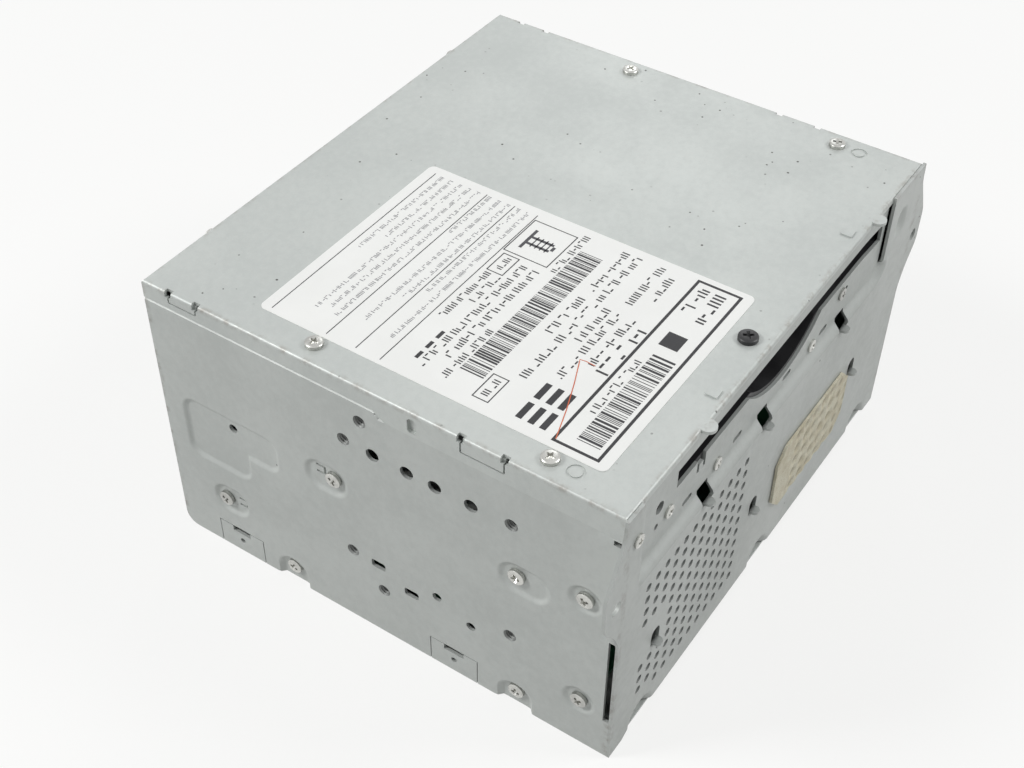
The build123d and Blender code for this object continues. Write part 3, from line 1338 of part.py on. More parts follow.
with BuildPart() as ribbon_cable:
    with BuildSketch(Plane.YZ.offset(ribbon_x - ribbon_width / 2)):
        with BuildLine():
            upper_side = FilletPolyline(
                (ribbon_board_y - ribbon_half, ribbon_low),
                (ribbon_board_y - ribbon_half, ribbon_middle_z + ribbon_half),
                (ribbon_deck_y - ribbon_half, ribbon_middle_z + ribbon_half),
                (ribbon_deck_y - ribbon_half, ribbon_high),
                radius=[ribbon_bend_r + ribbon_half, ribbon_bend_r - ribbon_half],
            )
            lower_side = FilletPolyline(
                (ribbon_deck_y + ribbon_half, ribbon_high),
                (ribbon_deck_y + ribbon_half, ribbon_middle_z - ribbon_half),
                (ribbon_board_y + ribbon_half, ribbon_middle_z - ribbon_half),
                (ribbon_board_y + ribbon_half, ribbon_low),
                radius=[ribbon_bend_r + ribbon_half, ribbon_bend_r - ribbon_half],
            )
            Line(upper_side @ 1, lower_side @ 0)
            Line(lower_side @ 1, upper_side @ 0)
        make_face()
    extrude(amount=ribbon_width)
save(ribbon_cable.part, "ribbon_cable")

with BuildPart() as ribbon_plugs:
    plug_half = ribbon_width / 2 + plug_side
    for y, low_z in ((ribbon_board_y, board_top), (ribbon_deck_y, ribbon_high)):
        block((ribbon_x - plug_half, y - plug_depth / 2, low_z),
              (ribbon_x + plug_half, y + plug_depth / 2, low_z + plug_height))
save(ribbon_plugs.part, "ribbon_plugs")

# Fan

fan_place = Plane(origin=(fan_x, rear_panel_front - fan_depth, fan_z), x_dir=(-1, 0, 0), z_dir=(0, 1, 0))

with BuildPart() as fan_frame:
    with BuildSketch(fan_place) as frame_outline:
        Rectangle(fan_size, fan_size)
        chamfer(frame_outline.vertices(), fan_corner)
        Circle(fan_bore_r, mode=Mode.SUBTRACT)
        with GridLocations(fan_hole_pitch, fan_hole_pitch, 2, 2):
            RegularPolygon(screw_hole_r, hole_sides, mode=Mode.SUBTRACT)
    extrude(amount=fan_depth)
    with BuildSketch(fan_place):
        Circle(fan_hub_r)
        for angle in (45, 135):
            Rectangle(2 * fan_bore_r + fan_strut, fan_strut, rotation=angle)
    extrude(amount=fan_back)
    with BuildSketch(fan_place):
        Circle(fan_spindle_r)
    extrude(amount=fan_back + fan_rotor_depth - fan_hub_gap)
save(fan_frame.part, "fan_frame")

with BuildPart() as fan_blade:
    Box(fan_tip_r, fan_blade_thick, fan_rotor_depth, rotation=(fan_blade_pitch, 0, 0))

with BuildPart() as rotor:
    with PolarLocations(fan_tip_r / 2, fan_blades):
        add(fan_blade.part)
    Cylinder(fan_tip_r, fan_rotor_depth, mode=Mode.INTERSECT)
    Cylinder(fan_hub_r, fan_rotor_depth)
    Cylinder(fan_spindle_r + run_gap, fan_rotor_depth, mode=Mode.SUBTRACT)

rotor_middle = fan_back + fan_hub_gap + fan_rotor_depth / 2
with BuildPart() as fan_rotor:
    with Locations(fan_place * Pos(0, 0, rotor_middle)):
        add(rotor.part)
save(fan_rotor.part, "fan_rotor")
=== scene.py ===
import json
import random
from math import cos, hypot, pi, radians, sin

import bmesh
import bpy
import numpy as np
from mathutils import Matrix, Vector
from mathutils.geometry import delaunay_2d_cdt


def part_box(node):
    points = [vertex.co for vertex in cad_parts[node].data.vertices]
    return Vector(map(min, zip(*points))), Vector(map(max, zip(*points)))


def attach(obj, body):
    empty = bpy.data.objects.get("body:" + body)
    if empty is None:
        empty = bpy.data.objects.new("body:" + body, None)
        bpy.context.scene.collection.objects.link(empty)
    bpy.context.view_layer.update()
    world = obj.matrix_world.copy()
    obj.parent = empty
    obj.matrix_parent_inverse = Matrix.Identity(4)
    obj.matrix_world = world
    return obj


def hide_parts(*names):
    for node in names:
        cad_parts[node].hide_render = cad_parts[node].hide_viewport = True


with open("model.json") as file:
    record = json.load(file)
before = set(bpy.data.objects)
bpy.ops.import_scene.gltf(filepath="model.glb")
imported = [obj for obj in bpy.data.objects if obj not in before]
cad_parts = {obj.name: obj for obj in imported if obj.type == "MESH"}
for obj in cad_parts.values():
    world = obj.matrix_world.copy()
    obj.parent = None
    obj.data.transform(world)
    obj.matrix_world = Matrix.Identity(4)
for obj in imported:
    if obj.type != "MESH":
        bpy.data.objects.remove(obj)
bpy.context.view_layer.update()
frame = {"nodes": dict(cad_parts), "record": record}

# Sizes are in millimetres, as in the CAD source, and MM turns them into the scene's metres.
MM = 0.001

# Steel box and disc plane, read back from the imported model
turntable_hub = 2.0
wall_low, wall_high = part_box("left_side_wall")
half_width = -wall_low.x / MM
rear_y = wall_high.y / MM
front_y = -rear_y
body_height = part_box("label_sheet")[0].z / MM
disc_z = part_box("turntable")[1].z / MM - turntable_hub

# Sheet steel: its thickness, the depth of its pressed fields and of the dimples at its edges
sheet = 1.0
press_depth = 0.95
edge_press = 1.5

# Points closer than this are one point
weld = 1e-4

slots = {part["node"]: part["material_slot"] for part in frame["record"]["subparts"]}


# Outlines

def arc_points(centre, radius, start, end, steps):
    """Points of an arc in degrees, both ends included."""
    return [
        (centre[0] + radius * cos(radians(start + (end - start) * i / steps)),
         centre[1] + radius * sin(radians(start + (end - start) * i / steps)))
        for i in range(steps + 1)
    ]


def rounded(points, radii, steps=6):
    """A closed outline whose corners are arcs, with one radius for each point, 0 for a sharp corner."""
    outline = []
    count = len(points)
    for i, radius in enumerate(radii):
        corner = Vector(points[i])
        if radius == 0:
            outline.append(tuple(corner))
            continue
        before = (Vector(points[i - 1]) - corner).normalized()
        after = (Vector(points[(i + 1) % count]) - corner).normalized()
        half_turn = before.angle(after) / 2
        reach = radius / np.tan(half_turn)
        centre = corner + (before + after).normalized() * radius / sin(half_turn)
        start = corner + before * reach - centre
        end = corner + after * reach - centre
        for step in range(steps + 1):
            turned = start.normalized().slerp(end.normalized(), step / steps)
            outline.append(tuple(centre + turned.normalized() * radius))
    return outline


def round_hole(u, v, radius, sides=24):
    """A round outline with its own count of sides."""
    return arc_points((u, v), radius, 0, 360 - 360 / sides, sides - 1)


def box_outline(low_u, low_v, high_u, high_v, radius=0.0):
    corners = [(low_u, low_v), (high_u, low_v), (high_u, high_v), (low_u, high_v)]
    return rounded(corners, [radius] * 4)


def inside(outline, u, v):
    """Whether each point of the arrays u and v lies inside a closed outline."""
    found = np.zeros(u.shape, bool)
    for (u0, v0), (u1, v1) in zip(outline, outline[1:] + outline[:1]):
        if v0 == v1:
            continue
        crosses = (v0 > v) != (v1 > v)
        found ^= crosses & (u < (u1 - u0) * (v - v0) / (v1 - v0) + u0)
    return found


# Pressed forms, as depths over a sheet

def smooth_step(value):
    value = min(max(value, 0.0), 1.0)
    return value * value * (3 - 2 * value)


def box_distance(u, v, low_u, low_v, high_u, high_v, radius):
    """Distance from a rounded rectangle's edge, negative inside."""
    beyond_u = abs(u - (low_u + high_u) / 2) - (high_u - low_u) / 2 + radius
    beyond_v = abs(v - (low_v + high_v) / 2) - (high_v - low_v) / 2 + radius
    return hypot(max(beyond_u, 0), max(beyond_v, 0)) + min(max(beyond_u, beyond_v), 0) - radius


def dent(distance, depth, slope):
    """Depth of a pressed form whose edge is where distance is zero."""
    return depth * smooth_step(-distance / slope)


# Meshes

def new_piece(name, points, faces, body="chassis", slot=None, material=None, sharp=35.0):
    """A mesh piece from points in millimetres, with edges sharper than the given angle kept sharp."""
    mesh = bpy.data.meshes.new(name)
    mesh.from_pydata([tuple(c * MM for c in p) for p in points], [], faces)
    shell = bmesh.new()
    shell.from_mesh(mesh)
    bmesh.ops.remove_doubles(shell, verts=shell.verts, dist=weld * MM)
    bmesh.ops.recalc_face_normals(shell, faces=shell.faces)
    shell.to_mesh(mesh)
    shell.free()
    mesh.shade_smooth()
    mesh.set_sharp_from_angle(angle=radians(sharp))
    piece = bpy.data.objects.new(name, mesh)
    bpy.context.scene.collection.objects.link(piece)
    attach(piece, body)
    if slot:
        mesh.materials.append(materials[material or slot])
    return piece


def box_solid(low, high):
    """Points and faces of a box."""
    xs, ys, zs = zip(low, high)
    points = [(x, y, z) for x in xs for y in ys for z in zs]
    return points, [(0, 1, 3, 2), (4, 6, 7, 5), (0, 4, 5, 1), (2, 3, 7, 6), (0, 2, 6, 4), (1, 5, 7, 3)]


def ring_wall(ring, sides):
    """The faces between one ring of points and the next."""
    low, high = ring * sides, (ring + 1) * sides
    return [(low + i, low + (i + 1) % sides, high + (i + 1) % sides, high + i) for i in range(sides)]


def divided(loop, step):
    """A closed outline with points at least every step along it."""
    points = []
    for (u0, v0), (u1, v1) in zip(loop, loop[1:] + loop[:1]):
        parts = max(1, int(np.ceil(hypot(u1 - u0, v1 - v0) / step)))
        points += [(u0 + (u1 - u0) * i / parts, v0 + (v1 - v0) * i / parts) for i in range(parts)]
    return points


def spread_points(outline, holes, regions, clearance=0.25):
    """Grid points over a sheet, clear of its holes. A region is (low_u, low_v, high_u, high_v, step)."""
    grids = []
    for low_u, low_v, high_u, high_v, step in regions:
        across = np.arange(low_u + step / 2, high_u, step)
        along = np.arange(low_v + step / 2, high_v, step)
        grids.append(np.column_stack([axis.ravel() for axis in np.meshgrid(across, along)]))
    grid = np.concatenate(grids)
    keep = inside(outline, grid[:, 0], grid[:, 1])
    for hole in holes:
        low = np.min(hole, axis=0) - clearance
        high = np.max(hole, axis=0) + clearance
        keep &= ~((grid > low) & (grid < high)).all(axis=1)
    return [tuple(point) for point in grid[keep]]


def sheet_solid(outline, holes, place, thick, fine=(), coarse=6.0, edge_step=1.2):
    """Points and faces of a sheet with holes.

    outline and holes are closed outlines over the sheet. place(u, v, t) gives the point at depth t below
    the sheet's face. fine lists regions (low_u, low_v, high_u, high_v, step) that get closer points.
    """
    points = []
    edges = []
    ring_of = []
    for ring, loop in enumerate([outline, *holes]):
        first = len(points)
        loop = divided(loop, edge_step)
        points += loop
        ring_of += [ring] * len(loop)
        edges += [(first + i, first + (i + 1) % len(loop)) for i in range(len(loop))]
    us, vs = zip(*outline)
    free = spread_points(outline, holes, [(min(us), min(vs), max(us), max(vs), coarse), *fine])
    points += free
    ring_of += [-1] * len(free)
    whole, tolerance = 0, 1e-5
    found, _, faces, sources, _, _ = delaunay_2d_cdt([Vector(p) for p in points], edges, [], whole, tolerance)
    rings = [ring_of[min(source)] if source else -1 for source in sources]
    kept = []
    for face in faces:
        # A face whose corners all lie on one ring may fill a hole or bridge a hollow of the outline.
        face_rings = {rings[i] for i in face}
        if len(face_rings) == 1 and -1 not in face_rings:
            ring = face_rings.pop()
            middle = sum((found[i] for i in face), Vector((0, 0))) / len(face)
            within = inside([outline, *holes][ring], np.array([middle.x]), np.array([middle.y]))[0]
            if within != (ring == 0):
                continue
        kept.append(tuple(face))
    count = len(found)
    solid = [place(p.x, p.y, 0.0) for p in found] + [place(p.x, p.y, thick) for p in found]
    # An edge that only one face uses lies on a rim, and gets a wall.
    rims = {}
    for face in kept:
        for a, b in zip(face, face[1:] + face[:1]):
            edge = frozenset((a, b))
            rims[edge] = None if edge in rims else (a, b)
    skin = kept + [tuple(i + count for i in reversed(face)) for face in kept]
    skin += [(a, b, b + count, a + count) for a, b in filter(None, rims.values())]
    return solid, skin


def joined(*solids):
    """Several solids' points and faces as one."""
    points = []
    faces = []
    for solid_points, solid_faces in solids:
        faces += [tuple(i + len(points) for i in face) for face in solid_faces]
        points += solid_points
    return points, faces


# Dimples of the filter cloth, drawn in at the vent holes behind it
pad_first_x = 17.9
pad_first_z = 19.6
pad_pitch_x = 5.85
pad_pitch_z = 5.4
pad_rows = 5
pad_spots = [
    (pad_first_x + pad_pitch_x * i, pad_first_z + pad_pitch_z * j)
    for i in range(pad_rows) for j in range(pad_rows)
]
pad_spot_r = 2.5
pad_spot_depth = 0.75


# Shader groups

def group(name, inputs, outputs):
    """A node group with named sockets. inputs maps each name to its default, a number or a colour."""
    tree = bpy.data.node_groups.new(name, "ShaderNodeTree")
    for socket, default in inputs.items():
        kind = "NodeSocketColor" if isinstance(default, tuple) else "NodeSocketFloat"
        made = tree.interface.new_socket(socket, in_out="INPUT", socket_type=kind)
        made.default_value = (*default, 1) if isinstance(default, tuple) else default
    for socket, kind in outputs.items():
        tree.interface.new_socket(socket, in_out="OUTPUT", socket_type=kind)
    return tree, tree.nodes.new("NodeGroupInput"), tree.nodes.new("NodeGroupOutput")


def add(tree, kind, settings=None, **links):
    """A node with its settings, and its inputs linked or set by name or index (i0, i1 for unnamed ones)."""
    node = tree.nodes.new(kind)
    for setting, value in (settings or {}).items():
        setattr(node, setting, value)
    for socket, value in links.items():
        key = int(socket[1:]) if socket[0] == "i" and socket[1:].isdigit() else socket.replace("_", " ")
        if isinstance(value, bpy.types.NodeSocket):
            tree.links.new(value, node.inputs[key])
        else:
            node.inputs[key].default_value = value
    return node


def feed(tree, node, **values):
    """Links each value to the input of its name."""
    for socket, value in values.items():
        tree.links.new(value, node.inputs[socket.replace("_", " ")])


def math(tree, operation, *values):
    """A sum, product or other operation on numbers, sockets or both."""
    node = tree.nodes.new("ShaderNodeMath")
    node.operation = operation
    for socket, value in zip(node.inputs, values):
        if isinstance(value, bpy.types.NodeSocket):
            tree.links.new(value, socket)
        else:
            socket.default_value = value
    return node.outputs[0]


def ramp(tree, value, low, high, to_low=0.0, to_high=1.0):
    """value taken smoothly from low..high to to_low..to_high."""
    node = add(tree, "ShaderNodeMapRange", {"interpolation_type": "SMOOTHSTEP"}, Value=value)
    for socket, limit in zip(("From Min", "From Max", "To Min", "To Max"), (low, high, to_low, to_high)):
        node.inputs[socket].default_value = limit
    return node.outputs["Result"]


def mix(tree, mask, first, second):
    """A colour between first and second by a mask."""
    node = tree.nodes.new("ShaderNodeMix")
    node.data_type = "RGBA"
    for socket, value in zip((node.inputs[0], node.inputs[6], node.inputs[7]), (mask, first, second)):
        if isinstance(value, bpy.types.NodeSocket):
            tree.links.new(value, socket)
        else:
            socket.default_value = (*value, 1) if isinstance(value, tuple) else value
    return node.outputs[2]


def noise(tree, place, scale, detail=3.0, roughness=0.5):
    return add(tree, "ShaderNodeTexNoise", Vector=place, Scale=scale, Detail=detail,
               Roughness=roughness).outputs["Fac"]


def object_place(tree):
    return tree.nodes.new("ShaderNodeTexCoord").outputs["Object"]


def stretched(tree, place, scale):
    """The place with each axis scaled, for marks that run one way."""
    return add(tree, "ShaderNodeVectorMath", {"operation": "MULTIPLY"}, i0=place, i1=scale).outputs[0]


def make_bloom_group():
    """The soft mottle of a zinc coat: broad clouds, small flecks and a faint grain."""
    tree, given, made = group(
        "zinc bloom", {"Pale": (0.8, 0.8, 0.8), "Deep": (0.6, 0.6, 0.6)},
        {"Colour": "NodeSocketColor", "Roughness": "NodeSocketFloat", "Height": "NodeSocketFloat"},
    )
    place = object_place(tree)
    clouds = noise(tree, place, 22.0, 4.0, 0.6)
    flecks = noise(tree, place, 420.0, 2.0, 0.6)
    grain = noise(tree, place, 1900.0, 2.0, 0.5)
    shade = math(tree, "ADD", math(tree, "MULTIPLY", clouds, 0.55),
                 math(tree, "ADD", math(tree, "MULTIPLY", flecks, 0.3), math(tree, "MULTIPLY", grain, 0.15)))
    colour = mix(tree, ramp(tree, shade, 0.36, 0.64), given.outputs["Deep"], given.outputs["Pale"])
    height = math(tree, "ADD", math(tree, "MULTIPLY", flecks, 0.5), math(tree, "MULTIPLY", grain, 0.5))
    feed(tree, made, Colour=colour, Roughness=ramp(tree, shade, 0.3, 0.7, 0.54, 0.4), Height=height)
    return tree


def make_speck_group():
    """Small dark pits and dirt specks, which gather in loose patches, as a mask."""
    tree, given, made = group("dirt specks", {"Spacing": 160.0, "Share": 0.3}, {"Mask": "NodeSocketFloat"})
    place = object_place(tree)
    cells = add(tree, "ShaderNodeTexVoronoi", {"feature": "F1"}, Vector=place, Scale=given.outputs["Spacing"],
                Randomness=1.0)
    ragged = math(tree, "ADD", cells.outputs["Distance"],
                  math(tree, "MULTIPLY", noise(tree, place, 900.0), 0.16))
    dots = ramp(tree, ragged, 0.26, 0.2)
    chosen = add(tree, "ShaderNodeSeparateColor", Color=cells.outputs["Color"])
    few = math(tree, "LESS_THAN", chosen.outputs[0], given.outputs["Share"])
    patches = ramp(tree, noise(tree, place, 30.0, 2.0), 0.45, 0.6)
    feed(tree, made, Mask=math(tree, "MULTIPLY", math(tree, "MULTIPLY", dots, few), patches))
    return tree


def make_scratch_group():
    """Fine short scratches that run several ways, as a mask."""
    tree, given, made = group("fine scratches", {"Amount": 0.5}, {"Mask": "NodeSocketFloat"})
    place = object_place(tree)
    total = 0.0
    for turn, scale in ((0.4, 34.0), (1.7, 46.0), (2.6, 27.0)):
        turned = add(tree, "ShaderNodeVectorRotate", {"rotation_type": "EULER_XYZ"}, Vector=place,
                     Rotation=(turn, turn * 0.6, turn)).outputs[0]
        streak = noise(tree, stretched(tree, turned, (1.0, 42.0, 16.0)), scale, 1.0)
        line = ramp(tree, math(tree, "ABSOLUTE", math(tree, "SUBTRACT", streak, 0.5)), 0.0035, 0.0)
        where = ramp(tree, noise(tree, turned, scale, 1.0), 0.58, 0.68)
        total = math(tree, "MAXIMUM", math(tree, "MULTIPLY", line, where), total)
    feed(tree, made, Mask=math(tree, "MULTIPLY", total, given.outputs["Amount"]))
    return tree


def make_edge_group():
    """How near a point is to the box's long edges, broken up by noise: where handling stains the zinc."""
    tree, given, made = group("edge stain", {"Reach": 0.004}, {"Mask": "NodeSocketFloat"})
    place = object_place(tree)
    parts = add(tree, "ShaderNodeSeparateXYZ", Vector=place)

    def apart(limit, value):
        return math(tree, "ABSOLUTE", math(tree, "SUBTRACT", limit * MM, value))

    from_side = apart(half_width, math(tree, "ABSOLUTE", parts.outputs[0]))
    from_end = apart(rear_y, math(tree, "ABSOLUTE", parts.outputs[1]))
    from_top = apart(body_height, parts.outputs[2])
    least = math(tree, "MINIMUM", from_side, from_end)
    most = math(tree, "MAXIMUM", from_side, from_end)
    second = math(tree, "MAXIMUM", least, math(tree, "MINIMUM", most, from_top))
    near = math(tree, "SUBTRACT", 1.0, math(tree, "DIVIDE", second, given.outputs["Reach"]))
    broken = noise(tree, place, 190.0, 4.0, 0.7)
    feed(tree, made, Mask=math(tree, "MULTIPLY", ramp(tree, near, 0.0, 1.0), ramp(tree, broken, 0.45, 0.68)))
    return tree


def make_grain_group():
    """The fine even grain of moulded plastic or matt rubber."""
    tree, given, made = group("moulded grain", {"Scale": 2500.0},
                              {"Height": "NodeSocketFloat", "Cloud": "NodeSocketFloat"})
    place = object_place(tree)
    grain = noise(tree, place, given.outputs["Scale"], 2.0)
    feed(tree, made, Height=grain, Cloud=noise(tree, place, 60.0, 3.0))
    return tree


def make_fibre_group():
    """Matted fibres: crossed fine streaks, as a height and a shade."""
    tree, given, made = group("matted fibres", {"Scale": 700.0},
                              {"Height": "NodeSocketFloat", "Shade": "NodeSocketFloat"})
    place = object_place(tree)
    total = None
    for turn in (0.3, 1.2, 2.2):
        turned = add(tree, "ShaderNodeVectorRotate", {"rotation_type": "Y_AXIS"}, Vector=place,
                     Angle=turn).outputs[0]
        fibre = noise(tree, stretched(tree, turned, (1.0, 1.0, 7.0)), given.outputs["Scale"], 2.0)
        off_middle = math(tree, "ABSOLUTE", math(tree, "SUBTRACT", fibre, 0.5))
        ridge = ramp(tree, off_middle, 0.1, 0.0)
        total = ridge if total is None else math(tree, "MAXIMUM", total, ridge)
    feed(tree, made, Height=total, Shade=noise(tree, place, 240.0, 3.0))
    return tree


bloom = make_bloom_group()
specks = make_speck_group()
scratches = make_scratch_group()
edge_stain = make_edge_group()
moulded = make_grain_group()
fibres = make_fibre_group()


# Materials: one for each slot of the record, and three more: darker copies of the zinc that paint the shade
# on the side walls and the front plate, and a dark steel that paints the shade inside the tapped bores

def new_material(name, colour, roughness, metallic=0.0, **settings):
    """A material with its shader's plain values set. Returns the material, its tree and its shader."""
    material = bpy.data.materials.new(name)
    material.use_nodes = True
    tree = material.node_tree
    shader = tree.nodes["Principled BSDF"]
    shader.inputs["Base Color"].default_value = (*colour, 1)
    shader.inputs["Roughness"].default_value = roughness
    shader.inputs["Metallic"].default_value = metallic
    for socket, value in settings.items():
        shader.inputs[socket.replace("_", " ")].default_value = value
    return material, tree, shader


def use(tree, node_group, **values):
    """The outputs of a node group placed with its own values."""
    node = tree.nodes.new("ShaderNodeGroup")
    node.node_tree = node_group
    for socket, value in values.items():
        node.inputs[socket].default_value = (*value, 1) if isinstance(value, tuple) else value
    return node.outputs


def bump(tree, shader, height, distance, strength):
    """Relief in the shader's normal, its distance in metres."""
    node = add(tree, "ShaderNodeBump", Height=height, Distance=distance, Strength=strength)
    feed(tree, shader, Normal=node.outputs["Normal"])


def zinc_sheet(name, pale, deep, stain, speck_share, metallic=0.25, stain_reach=0.0022):
    """Galvanised steel sheet: mottled zinc with specks, fine scratches and stained edges."""
    material, tree, shader = new_material(name, pale, 0.45, metallic)
    coat = use(tree, bloom, Pale=pale, Deep=deep)
    dirt = use(tree, specks, Spacing=430.0, Share=speck_share)
    marks = use(tree, scratches, Amount=0.35)
    edges = use(tree, edge_stain, Reach=stain_reach)
    colour = mix(tree, marks["Mask"], coat["Colour"], tuple(min(1.0, c * 1.25) for c in pale))
    colour = mix(tree, math(tree, "MULTIPLY", edges["Mask"], 0.5), colour, stain)
    colour = mix(tree, math(tree, "MULTIPLY", dirt["Mask"], 0.9), colour, (0.05, 0.045, 0.04))
    feed(tree, shader, Base_Color=colour,
         Roughness=math(tree, "ADD", coat["Roughness"], math(tree, "MULTIPLY", dirt["Mask"], 0.3)))
    rough = math(tree, "SUBTRACT", coat["Height"], math(tree, "MULTIPLY", dirt["Mask"], 1.2))
    bump(tree, shader, rough, 0.00003, 0.7)
    return material


def bright_metal(name, pale, deep, roughness, scratch_amount=0.3):
    """Plated or bare metal with a faint cloud and fine scratches."""
    material, tree, shader = new_material(name, pale, roughness, 1.0)
    coat = use(tree, bloom, Pale=pale, Deep=deep)
    marks = use(tree, scratches, Amount=scratch_amount)
    feed(tree, shader, Base_Color=mix(tree, marks["Mask"], coat["Colour"], deep),
         Roughness=math(tree, "MULTIPLY", coat["Roughness"], roughness / 0.45))
    bump(tree, shader, coat["Height"], 0.00002, 0.4)
    return material


def moulding(name, colour, lighter, roughness, grain_scale=2500.0, depth=0.00002):
    """Moulded plastic, rubber or lacquer with a fine grain and a faint cloudiness."""
    material, tree, shader = new_material(name, colour, roughness)
    grain = use(tree, moulded, Scale=grain_scale)
    feed(tree, shader, Base_Color=mix(tree, ramp(tree, grain["Cloud"], 0.35, 0.7), colour, lighter),
         Roughness=ramp(tree, grain["Cloud"], 0.2, 0.8, roughness - 0.06, roughness + 0.08))
    bump(tree, shader, grain["Height"], depth, 0.6)
    return material


def filter_felt(name):
    """Pale cream matted cloth, with painted shade darkening its dimples over the vent holes."""
    material, tree, shader = new_material(name, (0.84, 0.79, 0.62), 0.95)
    felt = use(tree, fibres, Scale=900.0)
    soiled = mix(tree, ramp(tree, felt["Shade"], 0.35, 0.65), (0.78, 0.72, 0.55), (0.9, 0.86, 0.7))
    matted = mix(tree, ramp(tree, felt["Height"], 0.0, 0.8), (0.66, 0.58, 0.42), soiled)
    parts = add(tree, "ShaderNodeSeparateXYZ", Vector=object_place(tree))
    waves = [
        math(tree, "COSINE", math(tree, "MULTIPLY", math(tree, "SUBTRACT", parts.outputs[axis], first * MM),
                                  2 * pi / (pitch * MM)))
        for axis, first, pitch in ((0, pad_first_x, pad_pitch_x), (2, pad_first_z, pad_pitch_z))
    ]
    # Painted shade: a brown darkening in the dimples over the vent holes, where the cloth sinks in
    dimple = ramp(tree, math(tree, "ADD", *waves), 0.1, 1.7)
    over_vents = ramp(tree, parts.outputs[0], (pad_first_x - 2.6) * MM, (pad_first_x - 1.6) * MM)
    dimple_shade = math(tree, "MULTIPLY", math(tree, "MULTIPLY", dimple, over_vents), 0.6)
    feed(tree, shader, Base_Color=mix(tree, dimple_shade, matted, (0.42, 0.37, 0.25)))
    bump(tree, shader, felt["Height"], 0.00012, 0.7)
    return material


def clear_lens(name):
    """Coated clear plastic of the pickup's lens."""
    material, tree, shader = new_material(name, (0.55, 0.62, 0.8), 0.04, IOR=1.5)
    shader.inputs["Transmission Weight"].default_value = 0.85
    grain = use(tree, moulded, Scale=900.0)
    bump(tree, shader, grain["Height"], 0.000004, 0.3)
    return material


finishes = {
    "galvanised_steel": (zinc_sheet, (0.575, 0.6, 0.575), (0.52, 0.545, 0.525), (0.2, 0.15, 0.11), 0.16),
    # The wall and front copies are the cover's zinc made darker: painted shade for faces that get less light
    # than the cover
    "galvanised_wall": (zinc_sheet, (0.535, 0.557, 0.535), (0.485, 0.506, 0.486), (0.14, 0.1, 0.07), 0.03),
    "galvanised_front": (zinc_sheet, (0.475, 0.495, 0.475), (0.425, 0.444, 0.425), (0.12, 0.08, 0.06), 0.04),
    # Tapped steel: a dark colour that paints the shade inside the tapped bores
    "tapped_steel": (zinc_sheet, (0.26, 0.27, 0.26), (0.16, 0.165, 0.16), (0.05, 0.04, 0.03), 0.1, 0.6),
    "tinned_steel": (zinc_sheet, (0.72, 0.73, 0.71), (0.6, 0.61, 0.6), (0.3, 0.24, 0.18), 0.12, 0.8),
    "zinc_screw": (bright_metal, (0.62, 0.62, 0.59), (0.4, 0.4, 0.38), 0.27),
    "black_screw": (moulding, (0.012, 0.012, 0.013), (0.03, 0.03, 0.032), 0.38),
    "ground_steel": (bright_metal, (0.72, 0.72, 0.72), (0.5, 0.5, 0.5), 0.2, 0.5),
    "motor_steel": (bright_metal, (0.6, 0.6, 0.58), (0.42, 0.42, 0.41), 0.34),
    "label_film": (moulding, (0.92, 0.92, 0.89), (0.95, 0.95, 0.92), 0.48, 900.0, 0.000006),
    "filter_cloth": (filter_felt,),
    "black_plastic": (moulding, (0.012, 0.012, 0.013), (0.028, 0.028, 0.03), 0.42),
    "white_plastic": (moulding, (0.72, 0.71, 0.67), (0.78, 0.77, 0.73), 0.42),
    "socket_plastic": (moulding, (0.55, 0.55, 0.5), (0.62, 0.62, 0.57), 0.46),
    "black_rubber": (moulding, (0.015, 0.015, 0.015), (0.035, 0.034, 0.033), 0.8, 1500.0, 0.00004),
    "lens_glass": (clear_lens,),
    "circuit_board": (moulding, (0.02, 0.09, 0.045), (0.03, 0.13, 0.065), 0.35, 1200.0),
    "bare_aluminium": (bright_metal, (0.8, 0.81, 0.82), (0.62, 0.63, 0.64), 0.36, 0.5),
    "capacitor_sleeve": (moulding, (0.02, 0.025, 0.06), (0.03, 0.04, 0.09), 0.32),
    "contact_brass": (bright_metal, (0.8, 0.62, 0.32), (0.6, 0.45, 0.22), 0.28),
    "plated_brass": (bright_metal, (0.8, 0.74, 0.58), (0.6, 0.55, 0.42), 0.26),
    "ribbon_plastic": (moulding, (0.66, 0.66, 0.64), (0.74, 0.74, 0.72), 0.5),
}
materials = {name: make(name, *values) for name, (make, *values) in finishes.items()}
# The bottom cover and the rear panel take the walls' darker zinc copy, the one that paints the walls' shade
wall_zinc_sheets = ("bottom_cover", "rear_panel")
for node, slot in slots.items():
    mesh = frame["nodes"][node].data
    mesh.materials.clear()
    mesh.materials.append(materials["galvanised_wall" if node in wall_zinc_sheets else slot])


# Side walls

# Tapped holes: the mounting bracket's four and two more, with their threads and collars
bracket_middle_y = -18.5
bracket_middle_z = 54.0
bracket_half_y = 27.5
bracket_half_z = 23.0
bracket_holes = [
    (bracket_middle_y + a * bracket_half_y, bracket_middle_z + b * bracket_half_z)
    for a in (-1, 1) for b in (-1, 1)
]
thread_holes = bracket_holes + [(2.8, 87.0), (-1.7, 19.8)]
thread_r = 2.1
thread_pitch = 0.8
thread_cut = 0.4
thread_length = 3.2
thread_start = 0.15
collar_r = 3.2
collar_seat = 0.9
collar_play = 0.02
thread_sides = 28

# Plain holes, slots and lanced marks, each (y, z)
row_holes = [(y, 76.4) for y in (-0.9, -12.4, -21.6, -33.3)]
row_hole_r = 2.2
small_holes = [(-21.1, 30.3), (-32.8, 25.3), (52.4, 55.6)]
small_hole_r = 1.6
wall_slots = [(-0.2, 30.3), (-11.9, 25.3)]
slot_half_length = 2.5
slot_half_height = 1.5
slot_corner_r = 0.8
lanced_marks = [(19.1, 58.4), (52.9, 23.1)]

